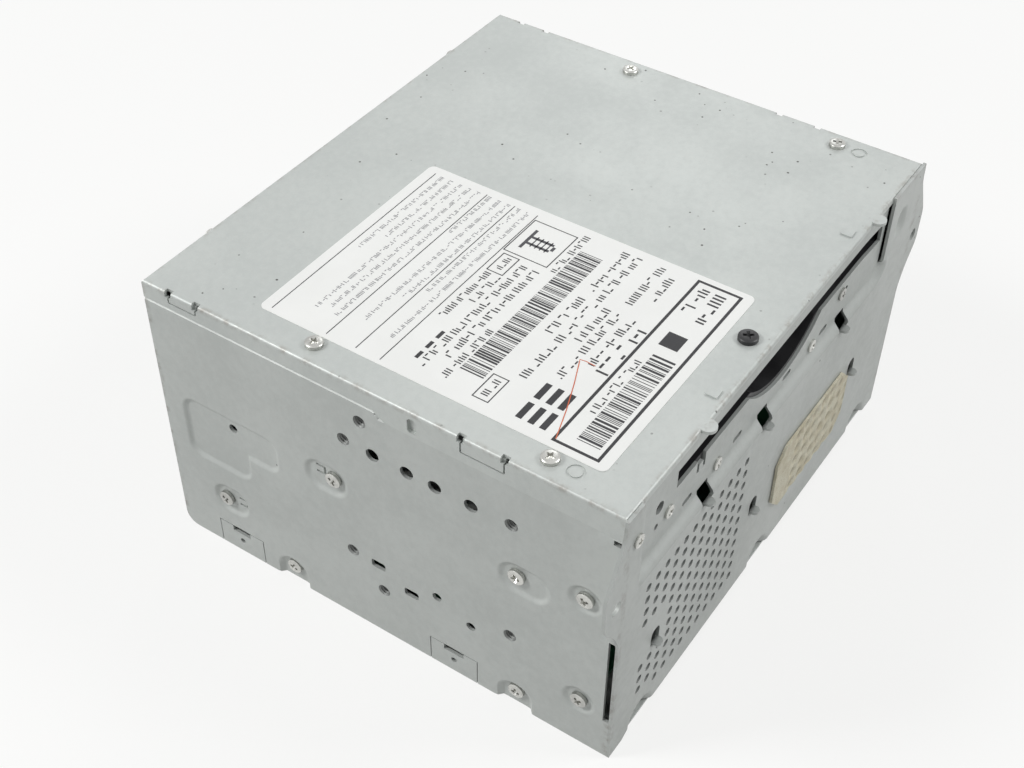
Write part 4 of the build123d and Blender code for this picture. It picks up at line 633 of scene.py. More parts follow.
# Pressed fields of the walls, each (low_y, low_z, high_y, high_z, corner radius)
wall_dimples = [
    (9.2, 50.4, 24.8, 62.6, 5.6), (50.2, 16.2, 64.2, 28.4, 5.6), (-58.6, 50.4, -41.8, 62.6, 5.6),
    (-74.4, 57.1, -63.6, 67.9, 5.3), (-74.4, 13.6, -63.6, 24.4, 5.3),
]
dimple_slope = 1.7
edge_dimple_middles = (-48.0, 34.4)
edge_dimple_half = 6.2
edge_dimple_top = 10.2
rear_field = [(46.4, 36.0, 71.5, 60.3, 5.0), (34.8, 46.2, 60.0, 60.3, 4.5)]
field_slope = 1.5

# Edges of the walls: the cover's lip, the bottom cover's tabs, the gaps at the corners and the reliefs
lip_rear_z = 93.7
lip_front_z = 91.1
lip_step_start = -1.9
lip_step_end = -5.8
lip_tuck = 0.7
tab_spans = [(-35.0, -18.0), (46.1, 64.0)]
tab_top = 10.3

# Gaps in the front edge, each (low, high, depth)
front_gap = (15.9, 50.9, 2.0)
corner_gap = (89.0, 90.8, 3.0)

rear_corner_r = 4.5
relief_middles = (70.3, 58.1, -29.1, -44.7)
relief_half = 1.3
relief_floor = 95.9
cover_gap = 0.02

# The walls' and the slot strip's upper edge, just under the cover
wall_top = body_height - sheet - cover_gap

# Flanges of the walls under the cover and behind the front plate, each front one (inner, outer, top)
top_flange_middles = (22.0, -53.0)
top_flange_half = 9.0
top_flange_reach = 11.0
flange_gap = 1.9
front_flanges = [(7.0, 4.4, 95.0), (4.4, flange_gap, 88.2)]
front_flange_low = 81.0
front_flange_depth = 2.0


def lip_height(y):
    """Height of the cover's side lip above a place on the wall."""
    share = smooth_step((y - lip_step_end) / (lip_step_start - lip_step_end))
    return lip_front_z + (lip_rear_z - lip_front_z) * share


def wall_depth(y, z):
    """How deep the wall is pressed in at a place, or tucked in under the cover's lip."""
    depths = [dent(box_distance(y, z, *field), press_depth, dimple_slope) for field in wall_dimples]
    for middle in edge_dimple_middles:
        shape = box_distance(y, z, middle - edge_dimple_half, -edge_dimple_top, middle + edge_dimple_half,
                             edge_dimple_top, edge_dimple_half)
        depths.append(dent(shape, edge_press, dimple_slope))
    depths.append(dent(min(box_distance(y, z, *part) for part in rear_field), press_depth, field_slope))
    depths.append(sheet * smooth_step((z - lip_height(y)) / lip_tuck))
    return max(depths)


def wall_outline():
    """The wall's outline, with the tab notches, the reliefs and the gaps at its front edge."""
    low_gap, high_gap, gap_depth = front_gap
    low_corner, high_corner, corner_depth = corner_gap
    points = [(front_y, 0)]
    for low_y, high_y in tab_spans:
        points += [(low_y, 0), (low_y, tab_top), (high_y, tab_top), (high_y, 0)]
    rear_corner = len(points)
    points += [(rear_y, 0), (rear_y, wall_top)]
    for y in relief_middles:
        points += [
            (y + relief_half, wall_top), (y + relief_half, relief_floor), (y - relief_half, relief_floor),
            (y - relief_half, wall_top),
        ]
    points += [
        (front_y, wall_top), (front_y, high_corner), (front_y + corner_depth, high_corner),
        (front_y + corner_depth, low_corner), (front_y, low_corner), (front_y, high_gap),
        (front_y + gap_depth, high_gap), (front_y + gap_depth, low_gap), (front_y, low_gap),
    ]
    return rounded(points, [rear_corner_r if i == rear_corner else 0 for i in range(len(points))])


def bracket_mark(y, z, size=1.7, slit=0.75):
    """A lanced mark: a three-sided slit round a small tongue."""
    return [
        (y - size, z - size), (y + size, z - size), (y + size, z - size + slit),
        (y - size + slit, z - size + slit), (y - size + slit, z + size - slit),
        (y + size, z + size - slit), (y + size, z + size), (y - size, z + size),
    ]


def thread_tube(y, z, place):
    """The ridged bore of a tapped hole, with a collar behind the wall."""
    end = thread_length + thread_start
    seat = sheet * collar_seat
    rings = [(end, collar_r), (seat, collar_r), (seat, thread_r + collar_play)]
    for turn in range(int(thread_length / thread_pitch)):
        depth = thread_start + turn * thread_pitch
        rings += [(depth, thread_r), (depth + thread_pitch / 2, thread_r - thread_cut)]
    rings += [(end, thread_r), rings[0]]
    points = []
    for depth, radius in rings:
        points += [place(u, v, depth) for u, v in round_hole(y, z, radius, thread_sides)]
    return points, [face for ring in range(len(rings) - 1) for face in ring_wall(ring, thread_sides)]


def side_wall(side, name, node):
    """A pressed side wall: side is -1 on the left and 1 on the right."""
    def place(y, z, t):
        return side * (half_width - wall_depth(y, z) - t), y, z

    def flat(y, z, t):
        return side * (half_width - t), y, z

    holes = [round_hole(y, z, thread_r) for y, z in thread_holes]
    holes += [round_hole(y, z, row_hole_r) for y, z in row_holes]
    holes += [round_hole(y, z, small_hole_r, 16) for y, z in small_holes]
    holes += [
        box_outline(y - slot_half_length, z - slot_half_height, y + slot_half_length, z + slot_half_height,
                    slot_corner_r)
        for y, z in wall_slots
    ]
    holes += [bracket_mark(y, z) for y, z in lanced_marks]
    fine = [
        (low_y - 1, low_z - 1, high_y + 1, high_z + 1, 0.5)
        for low_y, low_z, high_y, high_z, _ in wall_dimples
    ]
    fine += [
        (middle - edge_dimple_half - 1, 0, middle + edge_dimple_half + 1, edge_dimple_top + 1, 0.5)
        for middle in edge_dimple_middles
    ]
    fine += [
        (rear_field[1][0] - 1, rear_field[0][1] - 1, rear_field[0][2] + 1, rear_field[0][3] + 1, 0.6),
        (front_y, lip_front_z - 0.3, rear_y, lip_rear_z + 1.4, 1.0),
    ]
    skin = sheet_solid(wall_outline(), holes, place, sheet, fine)
    tubes = joined(*[thread_tube(y, z, flat) for y, z in thread_holes])
    # The bores and collars take the dark tapped steel, a painted shade inside the holes
    new_piece(name + "_tapped_bores", *tubes, slot="galvanised_steel", material="tapped_steel")
    under = body_height - sheet
    flanges = [
        box_solid((side * (half_width - top_flange_reach), y - top_flange_half, under - sheet),
                  (side * (half_width - flange_gap), y + top_flange_half, under))
        for y in top_flange_middles
    ]
    flanges += [
        box_solid((side * (half_width - inner), front_y + sheet, front_flange_low),
                  (side * (half_width - outer), front_y + front_flange_depth, top))
        for inner, outer, top in front_flanges
    ]
    # The wall sheet takes the darker zinc copy, a painted shade
    piece = new_piece(name, *joined(skin, *flanges), slot="galvanised_steel", material="galvanised_wall")
    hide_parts(node)


side_wall(-1, "left_wall_sheet", "left_side_wall")
side_wall(1, "right_wall_sheet", "right_side_wall")


# Front plate

# Panel, set-back slot strip with its fold and bead, and the slit beside it
panel_front = front_y - sheet
step_depth = 2.0
strip_taper = 0.2
strip_taper_from = 16.0
strip_taper_run = 14.0
fold_high = disc_z - 15.9
fold_low = fold_high - 3.1
strip_left = -80.5
strip_right = 66.6
side_slit = 0.6
strip_bend = 1.2
slit_foot = disc_z - 12.4
recess_corner = 7.0
bead_height = 0.45
bead_offset = 0.7
bead_spread = 0.9
bead_fade = 2.0

# Ears, from the foot of each to the cover
ear_shape = [(89.0, 51.0), (92.0, 58.0), (97.6, 65.0), (97.8, 77.5), (90.2, 93.0), (89.6, 99.9)]
ear_radii = [8.0, 14.0, 7.0, 9.0, 12.0, 0]
ear_hole = (92.4, 70.5)
ear_hole_r = 2.2

# Disc slot (low_x, low_z, high_x, high_z), its dip for a finger and the catch's notch below it
slot_box = (-60.8, disc_z - 2.5, 64.2, disc_z + 3.7)
finger_middle = 1.7
finger_half = 22.5
finger_drop = 8.6
finger_steps = 28
catch_x = -47.3
catch_half = 2.3
catch_tongue_half = 1.1
catch_tongue = 2.6

# Grille and vents
grille_pitch = 5.0
grille_left = -75.0
grille_top = 61.4
grille_columns = 12
grille_rows = 11
grille_hole_r = 1.35
vent_pitch = 6.0
vent_columns = 5
vent_rows = 4
vent_middle = (28.6, 30.7)
vent_hole_r = 1.9

# Lanced hooks and their cuts
upper_hooks = (-45.0, -10.0, 40.5)
upper_cut = (fold_low - 2.2, fold_high + 1.0)
upper_cut_half = 3.0
lower_hooks = ((-67.6, 30.2), (-9.7, 31.0), (57.0, 36.5))
lower_cut_half = 2.3
lower_cut_height = 6.2
cut_corner_r = 0.3
lower_cut_top_r = 2.1
hook_half = 1.6
hook_reach = 3.0
hook_bend = 1.1
hook_rise = 0.7
hook_tip = 0.4
hook_thick = 0.9

# Dimples, slots and holes
front_dimples = (-72.0, 1.0, 74.0)
front_dimple_r = 7.0
front_dimple_depth = 2.4
front_dimple_slope = 3.4
strip_slots = (-53.6, -25.3, 4.8, 28.7)
strip_slot_z = disc_z - 13.2
strip_slot_half_length = 2.5
strip_slot_half_height = 0.9
strip_slot_r = 0.85
strip_holes = [(-69.6, disc_z - 1.9, 2.0), (-70.7, disc_z - 8.2, 1.0), (42.6, disc_z - 6.8, 1.0)]
wing_dimple = (72.6, 80.0, 80.6, 91.6, 4.0)
wing_dimple_depth = 1.5
wing_dimple_slope = 3.4
foot_x = 82.0
foot_run = 3.0
foot_r = 1.0
base_z = 1.5

# Side flanges of the front plate
plate_flange_gap = 1.8
plate_flange_rear = -62.0
plate_flange_low = 12.0


def front_depth(x, z):
    """Depth of the front plate behind its panel: the slot strip is set back over a sloping fold."""
    slope = fold_high - fold_low
    high = 2 * body_height if x < strip_right + side_slit / 2 else slit_foot + slope
    recess = box_distance(x, z, -2 * half_width, fold_low, strip_right + slope, high, recess_corner)
    across = smooth_step((x - strip_left + strip_bend / 2) / strip_bend)
    across -= strip_taper * smooth_step((x - strip_right + strip_taper_from) / strip_taper_run)
    bead = bead_height * np.exp(-((recess - bead_offset) / bead_spread) ** 2)
    bead *= smooth_step((slit_foot + bead_fade / 2 - z) / bead_fade)
    depth = (dent(recess, step_depth, slope) - bead) * across
    for middle in front_dimples:
        rim = hypot(x - middle, z - base_z) - front_dimple_r
        depth += dent(rim, front_dimple_depth, front_dimple_slope)
    return depth + dent(box_distance(x, z, *wing_dimple), wing_dimple_depth, wing_dimple_slope)


def front_outline():
    """The plate's outline, with its feet, its ears and the slit beside the slot strip."""
    left_ear = [(-x, z) for x, z in reversed(ear_shape)]
    slit_right = strip_right + side_slit
    strip_edge = strip_left - strip_bend
    plate_top = body_height - 0.1
    feet = [(-foot_x, 0), (-foot_x + foot_run, base_z), (foot_x - foot_run, base_z), (foot_x, 0)]
    strip = [
        (slit_right, plate_top), (slit_right, slit_foot), (strip_right, slit_foot), (strip_right, wall_top),
        (strip_edge, wall_top), (strip_edge, plate_top),
    ]
    points = [(-half_width, 0), *feet, (half_width, 0), *ear_shape, *strip, *left_ear]
    radii = [0, *[foot_r] * len(feet), 0, *ear_radii, *[0] * len(strip), *reversed(ear_radii)]
    return rounded(points, radii)


def slot_outline():
    """The disc slot, with the dip in its lower edge and the notch round the catch's tongue."""
    left, low, right, high = slot_box
    radius = (finger_half ** 2 + finger_drop ** 2) / (2 * finger_drop)
    centre = (finger_middle, low - finger_drop + radius)
    reach = np.degrees(np.arcsin(finger_half / radius))
    dip = arc_points(centre, radius, -90 + reach, -90 - reach, finger_steps)
    notch_low = low - 2 * catch_half
    notch = [
        (catch_x + catch_half, low), (catch_x + catch_half, notch_low),
        (catch_x + catch_tongue_half, notch_low), (catch_x + catch_tongue_half, notch_low + catch_tongue),
        (catch_x - catch_tongue_half, notch_low + catch_tongue), (catch_x - catch_tongue_half, notch_low),
        (catch_x - catch_half, notch_low), (catch_x - catch_half, low),
    ]
    return [(left, high), (right, high), (right, low), *dip, *notch, (left, low)]


def grille_spots():
    """The grille's holes, apart from those that the lower hook and the corner leave out."""
    for column in range(grille_columns):
        for row in range(grille_rows):
            by_hook = column < 3 and row in (4, 5, 6)
            by_corner = column < 2 and row == grille_rows - 1
            if not by_hook and not by_corner:
                yield grille_left + column * grille_pitch, grille_top - row * grille_pitch


def hook(x, cut_low):
    """A lanced hook: a tongue that leaves the panel at the foot of its cut and bends straight forward."""
    bend_y = panel_front + sheet / 2 - hook_bend
    quarter = hook_bend * pi / 2
    run = hook_reach - hook_bend - sheet / 2 + hook_tip
    tip = arc_points((0, hook_rise + quarter + run - hook_half), hook_half, 0, 180, 10)

    def place(u, s, t):
        radius = hook_bend + t - sheet / 2
        if s < hook_rise:
            return x + u, bend_y + radius, cut_low - hook_rise + s
        if s < hook_rise + quarter:
            turn = (s - hook_rise) / hook_bend
            return x + u, bend_y + radius * cos(turn), cut_low + radius * sin(turn)
        return x + u, bend_y - (s - hook_rise - quarter), cut_low + radius

    outline = [(-hook_half, 0), (hook_half, 0), *tip]
    return sheet_solid(outline, [], place, sheet * hook_thick, coarse=0.5)


def vent_spots():
    """The vent holes behind the filter cloth."""
    for i in range(vent_columns):
        for j in range(vent_rows):
            yield (vent_middle[0] + (i - (vent_columns - 1) / 2) * vent_pitch,
                   vent_middle[1] + (j - (vent_rows - 1) / 2) * vent_pitch)


def lower_cut(x, z):
    """The cut that a lower hook leaves, with a round top."""
    left, right, top = x - lower_cut_half, x + lower_cut_half, z + lower_cut_height
    corners = [(left, z), (right, z), (right, top), (left, top)]
    return rounded(corners, [cut_corner_r, cut_corner_r, lower_cut_top_r, lower_cut_top_r])


def front_holes():
    """Outlines of all openings of the front plate."""
    holes = [slot_outline()]
    holes += [round_hole(x, z, grille_hole_r, 20) for x, z in grille_spots()]
    holes += [round_hole(x, z, vent_hole_r) for x, z in vent_spots()]
    holes += [
        box_outline(x - upper_cut_half, upper_cut[0], x + upper_cut_half, upper_cut[1], cut_corner_r)
        for x in upper_hooks
    ]
    holes += [lower_cut(x, z) for x, z in lower_hooks]
    holes += [round_hole(side * ear_hole[0], ear_hole[1], ear_hole_r) for side in (-1, 1)]
    holes += [
        box_outline(x - strip_slot_half_length, strip_slot_z - strip_slot_half_height,
                    x + strip_slot_half_length, strip_slot_z + strip_slot_half_height, strip_slot_r)
        for x in strip_slots
    ]
    return holes + [round_hole(x, z, radius, 20) for x, z, radius in strip_holes]


def front_plate_sheet():
    """The front plate with its hooks and side flanges, as one pressed sheet."""
    def place(x, z, t):
        return x, panel_front + front_depth(x, z) + t, z

    fine = [
        (strip_left - 2, fold_low - 2.6, strip_right + 5, fold_high + 6.5, 0.55),
        (strip_left - 1.2, fold_low, strip_left + 1.2, body_height, 0.6),
        (wing_dimple[0] - 1, wing_dimple[1] - 1, wing_dimple[2] + 1, wing_dimple[3] + 1, 0.8),
    ]
    around = front_dimple_r + 1
    fine += [(x - around, base_z, x + around, base_z + around, 0.8) for x in front_dimples]
    skin = sheet_solid(front_outline(), front_holes(), place, sheet, fine)
    hooks = [hook(x, upper_cut[0]) for x in upper_hooks] + [hook(x, z) for x, z in lower_hooks]
    low_gap, high_gap, gap_depth = front_gap
    flange_parts = [
        (plate_flange_low, low_gap - 0.5, front_y),
        (low_gap - 0.5, high_gap + 0.5, front_y + gap_depth + 4),
        (high_gap + 0.5, fold_low - 1, front_y),
    ]
    flanges = [
        box_solid((side * (half_width - plate_flange_gap), near, low),
                  (side * (half_width - plate_flange_gap - sheet), plate_flange_rear, high))
        for side in (-1, 1) for low, high, near in flange_parts
    ]
    # The plate takes the darkest zinc copy, a painted shade for the front face
    piece = new_piece("front_plate_sheet", *joined(skin, *hooks, *flanges), slot="galvanised_steel",
                      material="galvanised_front")
    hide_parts("front_plate")


front_plate_sheet()


# Screws, with low domed heads and crossed recesses

cross_half_length = 1.55
cross_half_width = 0.42
cross_taper = 0.45
cross_flare = 1.15
cross_depth = 0.95
cross_above = 0.4
head_rim = 0.14
head_sides = 40
dome_share = 0.35
dome_steps = 7
dome_fullness = 0.55
shank_r = 1.35
shank_length = 4.0
shank_sides = 12
usual_r = 2.6


def screw_head(radius, height):
    """A pan head that stands on z = 0: a low dome over a rounded rim."""
    dome = dome_share * height
    profile = [(0.0, 0.0), (radius * 0.97, 0.0), (radius, head_rim), (radius, height - dome - head_rim)]
    for step in range(1, dome_steps):
        turn = pi / 2 * step / dome_steps
        profile.append((radius * cos(turn * 0.98) ** dome_fullness, height - dome + dome * sin(turn)))
    profile.append((0.0, height))
    points = [(*spot, z) for distance, z in profile for spot in ring_spots(distance, head_sides)]
    faces = [face for ring in range(len(profile) - 1) for face in ring_wall(ring, head_sides)]
    return plain_mesh(points, faces)


def ring_spots(radius, sides):
    turns = [2 * pi * i / sides for i in range(sides)]
    return [(radius * cos(turn), radius * sin(turn)) for turn in turns]


def plain_mesh(points, faces):
    """A closed mesh in millimetres, to cut or to be cut with."""
    mesh = bpy.data.meshes.new("work")
    mesh.from_pydata(points, [], faces)
    shell = bmesh.new()
    shell.from_mesh(mesh)
    bmesh.ops.remove_doubles(shell, verts=shell.verts, dist=weld)
    bmesh.ops.dissolve_degenerate(shell, dist=weld, edges=shell.edges)
    bmesh.ops.recalc_face_normals(shell, faces=shell.faces)
    shell.to_mesh(mesh)
    shell.free()
    return mesh


def cross_cutter(height, scale):
    """The two bars of a crossed recess that narrows downwards."""
    solids = []
    for turn in (0, 1):
        points = []
        for z, share in ((height - cross_depth, cross_taper), (height + cross_above, cross_flare)):
            long = cross_half_length * scale * share
            wide = cross_half_width * scale * (0.7 + 0.3 * share)
            corners = [(-long, -wide), (long, -wide), (long, wide), (-long, wide)]
            points += [(-v, u, z) if turn else (u, v, z) for u, v in corners]
        faces = [(0, 3, 2, 1), (4, 5, 6, 7), (0, 1, 5, 4), (1, 2, 6, 5), (2, 3, 7, 6), (3, 0, 4, 7)]
        solids.append(plain_mesh(points, faces))
    return solids


def cut(mesh, cutters):
    """A mesh with other meshes cut out of it."""
    body = bpy.data.objects.new("work", mesh)
    bpy.context.scene.collection.objects.link(body)
    tools = []
    for cutter in cutters:
        tool = bpy.data.objects.new("work_tool", cutter)
        bpy.context.scene.collection.objects.link(tool)
        modifier = body.modifiers.new("cut", "BOOLEAN")
        modifier.operation = "DIFFERENCE"
        modifier.solver = "EXACT"
        modifier.object = tool
        tools.append(tool)
    bpy.context.view_layer.update()
    result = bpy.data.meshes.new_from_object(body.evaluated_get(bpy.context.evaluated_depsgraph_get()))
    for used in [body, *tools]:
        bpy.data.objects.remove(used)
    return result


def screw_tops(node, axis):
    """The middle of each head's top, for the screws of a node whose heads point along an axis."""
    out = Vector(axis)
    apart = 6.0
    top_band = 0.1
    clusters = []
    for vertex in frame["nodes"][node].data.vertices:
        place = vertex.co / MM
        flat = place - out * place.dot(out)
        near = [c for c in clusters if (c["flat"] - flat).length < apart]
        if not near:
            near = [{"flat": flat, "points": []}]
            clusters += near
        near[0]["points"].append(place)
    for cluster in clusters:
        top = max(p.dot(out) for p in cluster["points"])
        spread = [p for p in cluster["points"] if p.dot(out) > top - top_band]
        yield sum(spread, Vector()) / len(spread)


def shank_solid():
    """Points and faces of the plain shank under a head."""
    points = [(*spot, z) for z in (0.0, -shank_length) for spot in ring_spots(shank_r, shank_sides)]
    ends = [tuple(shank_sides + i for i in range(shank_sides)), tuple(reversed(range(shank_sides)))]
    return points, ring_wall(0, shank_sides) + ends


def screws(node, axes, radius, height, slot):
    """Dressed screws for a node. axes gives each way that its heads point."""
    head = cut(screw_head(radius, height), cross_cutter(height, radius / usual_r))
    shank_points, shank_faces = shank_solid()
    turns = random.Random(node)
    solids = []
    for axis in axes:
        turn_to = Vector((0, 0, 1)).rotation_difference(Vector(axis)).to_matrix()
        for top in screw_tops(node, axis):
            seat = top - Vector(axis) * height
            angle = turns.uniform(0, pi / 2)
            head_points = []
            for vertex in head.vertices:
                x, y, z = vertex.co
                spun = Vector((x * cos(angle) - y * sin(angle), x * sin(angle) + y * cos(angle), z))
                head_points.append(tuple(seat + turn_to @ spun))
            solids.append((head_points, [tuple(polygon.vertices) for polygon in head.polygons]))
            solids.append(([tuple(seat + turn_to @ Vector(p)) for p in shank_points], shank_faces))
    piece = new_piece(node + "_dressed", *joined(*solids), slot=slot, sharp=30.0)
    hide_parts(node)


up, left, right, front, rear = (0, 0, 1), (-1, 0, 0), (1, 0, 0), (0, -1, 0), (0, 1, 0)
pan_height = 1.5
low_r = 2.1
low_height = 0.9
screws("top_cover_screws", [up], usual_r, pan_height, "zinc_screw")
screws("deck_stop_screw", [up], 2.9, 1.6, "black_screw")
screws("bottom_edge_screws", [left, right], usual_r, pan_height, "zinc_screw")
screws("board_screws", [up], usual_r, pan_height, "zinc_screw")
screws("left_wall_screws", [left], usual_r, pan_height, "zinc_screw")
screws("right_wall_screws", [right], usual_r, pan_height, "zinc_screw")
screws("disc_guide_screws", [front], low_r, low_height, "zinc_screw")
screws("front_wing_screw", [front], low_r, low_height, "zinc_screw")
screws("rear_lip_screws", [rear], usual_r, pan_height, "zinc_screw")
screws("fan_screws", [rear], usual_r, pan_height, "zinc_screw")


# Filter pad: a strip of matted cloth, drawn in over the vent holes behind it

pad_low, pad_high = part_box("filter_pad")
pad_thick = 0.9
pad_corner = 5.0
pad_lift = 0.14
fray_step = 0.8
fray_most = 0.12
fray_pull = 0.08
ripple_height = 0.1


def filter_sheet():
    """The cloth, with a slightly frayed edge, a soft ripple and dimples over the vent holes."""
    low_x, high_x = pad_low.x / MM, pad_high.x / MM
    low_z, high_z = pad_low.z / MM, pad_high.z / MM
    middle_x, middle_z = (low_x + high_x) / 2, (low_z + high_z) / 2
    fray = random.Random(7)
    corners = [
        (low_x + pad_corner, low_z), (high_x - pad_corner, low_z),
        (high_x, low_z + pad_corner), (high_x, high_z - pad_corner),
        (high_x - pad_corner, high_z), (low_x + pad_corner, high_z),
        (low_x, high_z - pad_corner), (low_x, low_z + pad_corner),
    ]
    outline = []
    for (x0, z0), (x1, z1) in zip(corners, corners[1:] + corners[:1]):
        steps = max(2, int(hypot(x1 - x0, z1 - z0) / fray_step))
        for step in range(steps):
            share = step / steps
            pull = -fray.uniform(-fray_most, 0.0) * fray_pull
            outline.append((x0 + (x1 - x0) * share + (middle_x - x0) * pull,
                            z0 + (z1 - z0) * share + (middle_z - z0) * pull))
    waves = [(fray.uniform(0.15, 0.5), fray.uniform(0.15, 0.5), fray.uniform(0, 2 * pi)) for _ in range(6)]

    def place(x, z, t):
        nearest = min(hypot(x - spot_x, z - spot_z) for spot_x, spot_z in pad_spots)
        sink = pad_spot_depth * smooth_step(1.25 - nearest / pad_spot_r)
        ripple = sum(sin(a * x + b * z + c) for a, b, c in waves) / len(waves) * ripple_height
        return x, panel_front - pad_thick - pad_lift + (sink + ripple) * (1 - t / pad_thick) + t, z

    solid = sheet_solid(outline, [], place, pad_thick, [(low_x, low_z, high_x, high_z, 0.55)])
    piece = new_piece("filter_felt", *solid, slot="filter_cloth", sharp=60.0)
    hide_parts("filter_pad")


filter_sheet()


# Printed label: rules, frames, rows of bars, plain ticks and a drawing of a screw

_, label_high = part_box("label_sheet")
ink_lift = 0.02
label_right = label_high.x / MM
label_back = label_high.y / MM
label_face = label_high.z / MM


def ink(name, marks, colour):
    """A printed layer. Each mark is (u0, v0, u1, v1): u runs to the front and v to the left."""
    points = []
    faces = []
    for u0, v0, u1, v1 in marks:
        first = len(points)
        for u, v in ((u0, v0), (u1, v0), (u1, v1), (u0, v1)):
            points.append((label_right - v, label_back - u, label_face + ink_lift))
        faces.append((first, first + 1, first + 2, first + 3))
    piece = new_piece(name, points, faces)
    faded = tuple(c * 1.3 + 0.01 for c in colour)
    piece.data.materials.append(moulding(name, colour, faded, 0.55, 900.0, 0.000004))


def frame_marks(u0, v0, u1, v1, line):
    """The four sides of a ruled frame."""
    return [
        (u0, v0, u1, v0 + line), (u0, v1 - line, u1, v1), (u0, v0 + line, u0 + line, v1 - line),
        (u1 - line, v0 + line, u1, v1 - line),
    ]


def tick_row(u0, u1, v0, v1, draw):
    """A row of plain ticks, upright and lying, set in groups."""
    marks = []
    height = u1 - u0
    weight = 0.2
    v = v0
    left_in_group = draw.randint(3, 9)
    while v < v1 - height * weight:
        if left_in_group == 0:
            left_in_group = draw.randint(2, 9)
            v += height * 0.45
            continue
        left_in_group -= 1
        if draw.random() < 0.3:
            width = height * draw.uniform(0.45, 0.6)
            level = u0 + height * draw.choice((0.0, 0.4, 0.8))
            marks.append((level, v, level + height * weight, min(v + width, v1)))
        else:
            width = height * weight
            marks.append((u0 + height * draw.choice((0.0, 0.0, 0.25)), v, u1, v + width))
        v += width + height * draw.uniform(0.16, 0.3)
    return marks


def bar_row(u0, v0, u1, v1, draw, narrow):
    """Upright bars of random widths, each a few times the narrowest."""
    marks = []
    v = v0
    while v < v1 - 3 * narrow:
        width = narrow * draw.choice((1, 1, 2, 3))
        marks.append((u0, v, u1, v + width))
        v += width + narrow * draw.choice((1, 1, 2, 2, 3))
    return marks


def print_label():
    """The black, the grey and the drawn layer. Numbers are millimetres from the label's rear right corner."""
    draw = random.Random(11)
    black = frame_marks(94.0, 2.1, 108.2, 78.6, 0.9)
    black += bar_row(99.2, 36.3, 106.1, 75.5, draw, 0.27)
    black += bar_row(59.9, 10.1, 67.4, 70.5, draw, 0.24)
    black.append((98.2, 25.9, 104.0, 32.1))
    black += frame_marks(41.1, 5.1, 56.1, 22.0, 0.35) + frame_marks(42.2, 23.1, 47.8, 32.1, 0.35)
    black += frame_marks(68.4, 66.5, 73.6, 76.7, 0.35)
    black += [(u, v, u + 1.9, v + 6.5) for u in (81.9, 85.6, 89.2) for v in (61.7, 70.2)]
    for u in (40.5, 32.4, 22.4, 3.4):
        black.append((u, 3.0, u + 0.3, 79.2))
    rows = [
        (101.0, 104.5, 5.0, 21.7), (96.2, 99.4, 5.0, 17.0), (96.2, 98.4, 40.9, 64.6),
        (89.9, 93.6, 30.0, 51.3), (86.2, 88.8, 6.3, 18.0), (86.2, 88.8, 27.6, 49.6),
        (82.0, 84.4, 3.4, 23.0), (82.0, 84.4, 27.6, 58.4), (78.4, 80.9, 27.6, 43.8),
        (74.2, 76.7, 3.4, 26.3), (74.2, 76.7, 27.6, 64.0), (70.1, 72.6, 3.4, 23.4),
        (70.1, 72.6, 27.6, 46.7), (69.9, 72.1, 68.2, 75.2), (57.1, 59.3, 3.4, 24.2),
        (57.1, 59.3, 53.0, 75.1), (53.3, 55.7, 25.1, 68.8), (49.4, 51.7, 25.1, 75.9),
        (45.8, 48.0, 33.0, 46.7), (42.5, 44.7, 33.0, 55.5), (43.9, 46.0, 24.5, 30.5),
        (42.8, 48.6, 60.5, 78.0),
    ]
    for u0, u1, v0, v1 in rows:
        black += tick_row(u0, u1, v0, v1, draw)
    ink("label_black_ink", black, (0.018, 0.018, 0.02))
    grey = []
    ends = [
        (37.8, 70.5), (34.4, 49.6), (30.7, 55.1), (27.4, 68.8), (24.0, 24.6), (19.9, 72.1), (16.5, 69.6),
        (13.2, 72.1), (9.9, 36.7), (6.5, 44.6),
    ]
    for u, end in ends:
        grey += tick_row(u - 0.75, u + 0.55, 3.4, end, draw)
    ink("label_grey_ink", grey, (0.2, 0.2, 0.21))
    screw_sign = [
        (44.0, 9.0, 45.0, 18.5), (45.0, 12.0, 52.5, 13.0), (45.0, 15.0, 52.5, 16.0), (52.5, 13.0, 53.5, 15.0),
    ]
    screw_sign += [(46.5 + 1.6 * i, 11.4, 46.9 + 1.6 * i, 16.6) for i in range(4)]
    ink("label_sign_ink", screw_sign, (0.05, 0.05, 0.055))


def pen_stroke():
    """A thin stroke of red pen across the label."""
    path = [(89.0, 49.1), (86.0, 48.9), (84.2, 49.2), (84.6, 50.0), (88.0, 58.0), (91.6, 67.5), (94.9, 77.6)]
    half = 0.14
    height = label_face + 2 * ink_lift
    points = []
    for i, (u, v) in enumerate(path):
        before = Vector(path[max(i - 1, 0)])
        after = Vector(path[min(i + 1, len(path) - 1)])
        along_u, along_v = (after - before).normalized() * half
        for sign in (-1, 1):
            points.append((label_right - v - sign * along_u, label_back - u + sign * along_v, height))
    faces = [(2 * i, 2 * i + 1, 2 * i + 3, 2 * i + 2) for i in range(len(path) - 1)]
    piece = new_piece("label_pen_stroke", points, faces)
    piece.data.materials.append(moulding("red_pen", (0.62, 0.12, 0.05), (0.7, 0.2, 0.1), 0.6))


print_label()
pen_stroke()


# Camera, from the fit to the box's edges

camera_data = bpy.data.cameras.new("camera")
camera_data.lens = 53.8565
camera_data.sensor_width = 36.0
camera = bpy.data.objects.new("camera", camera_data)
camera.location = (-0.307278, -0.189632, 0.373412)
camera.rotation_euler = (radians(46.6735), radians(-0.5619), radians(-56.0596))
bpy.context.scene.collection.objects.link(camera)
bpy.context.scene.camera = camera


# Floor and light

floor_size = 6.0
floor_glow = 0.78

# Distances in metres between which the floor fades to plain white
fade_start = 0.3
fade_end = 0.9
world_strength = 0.25


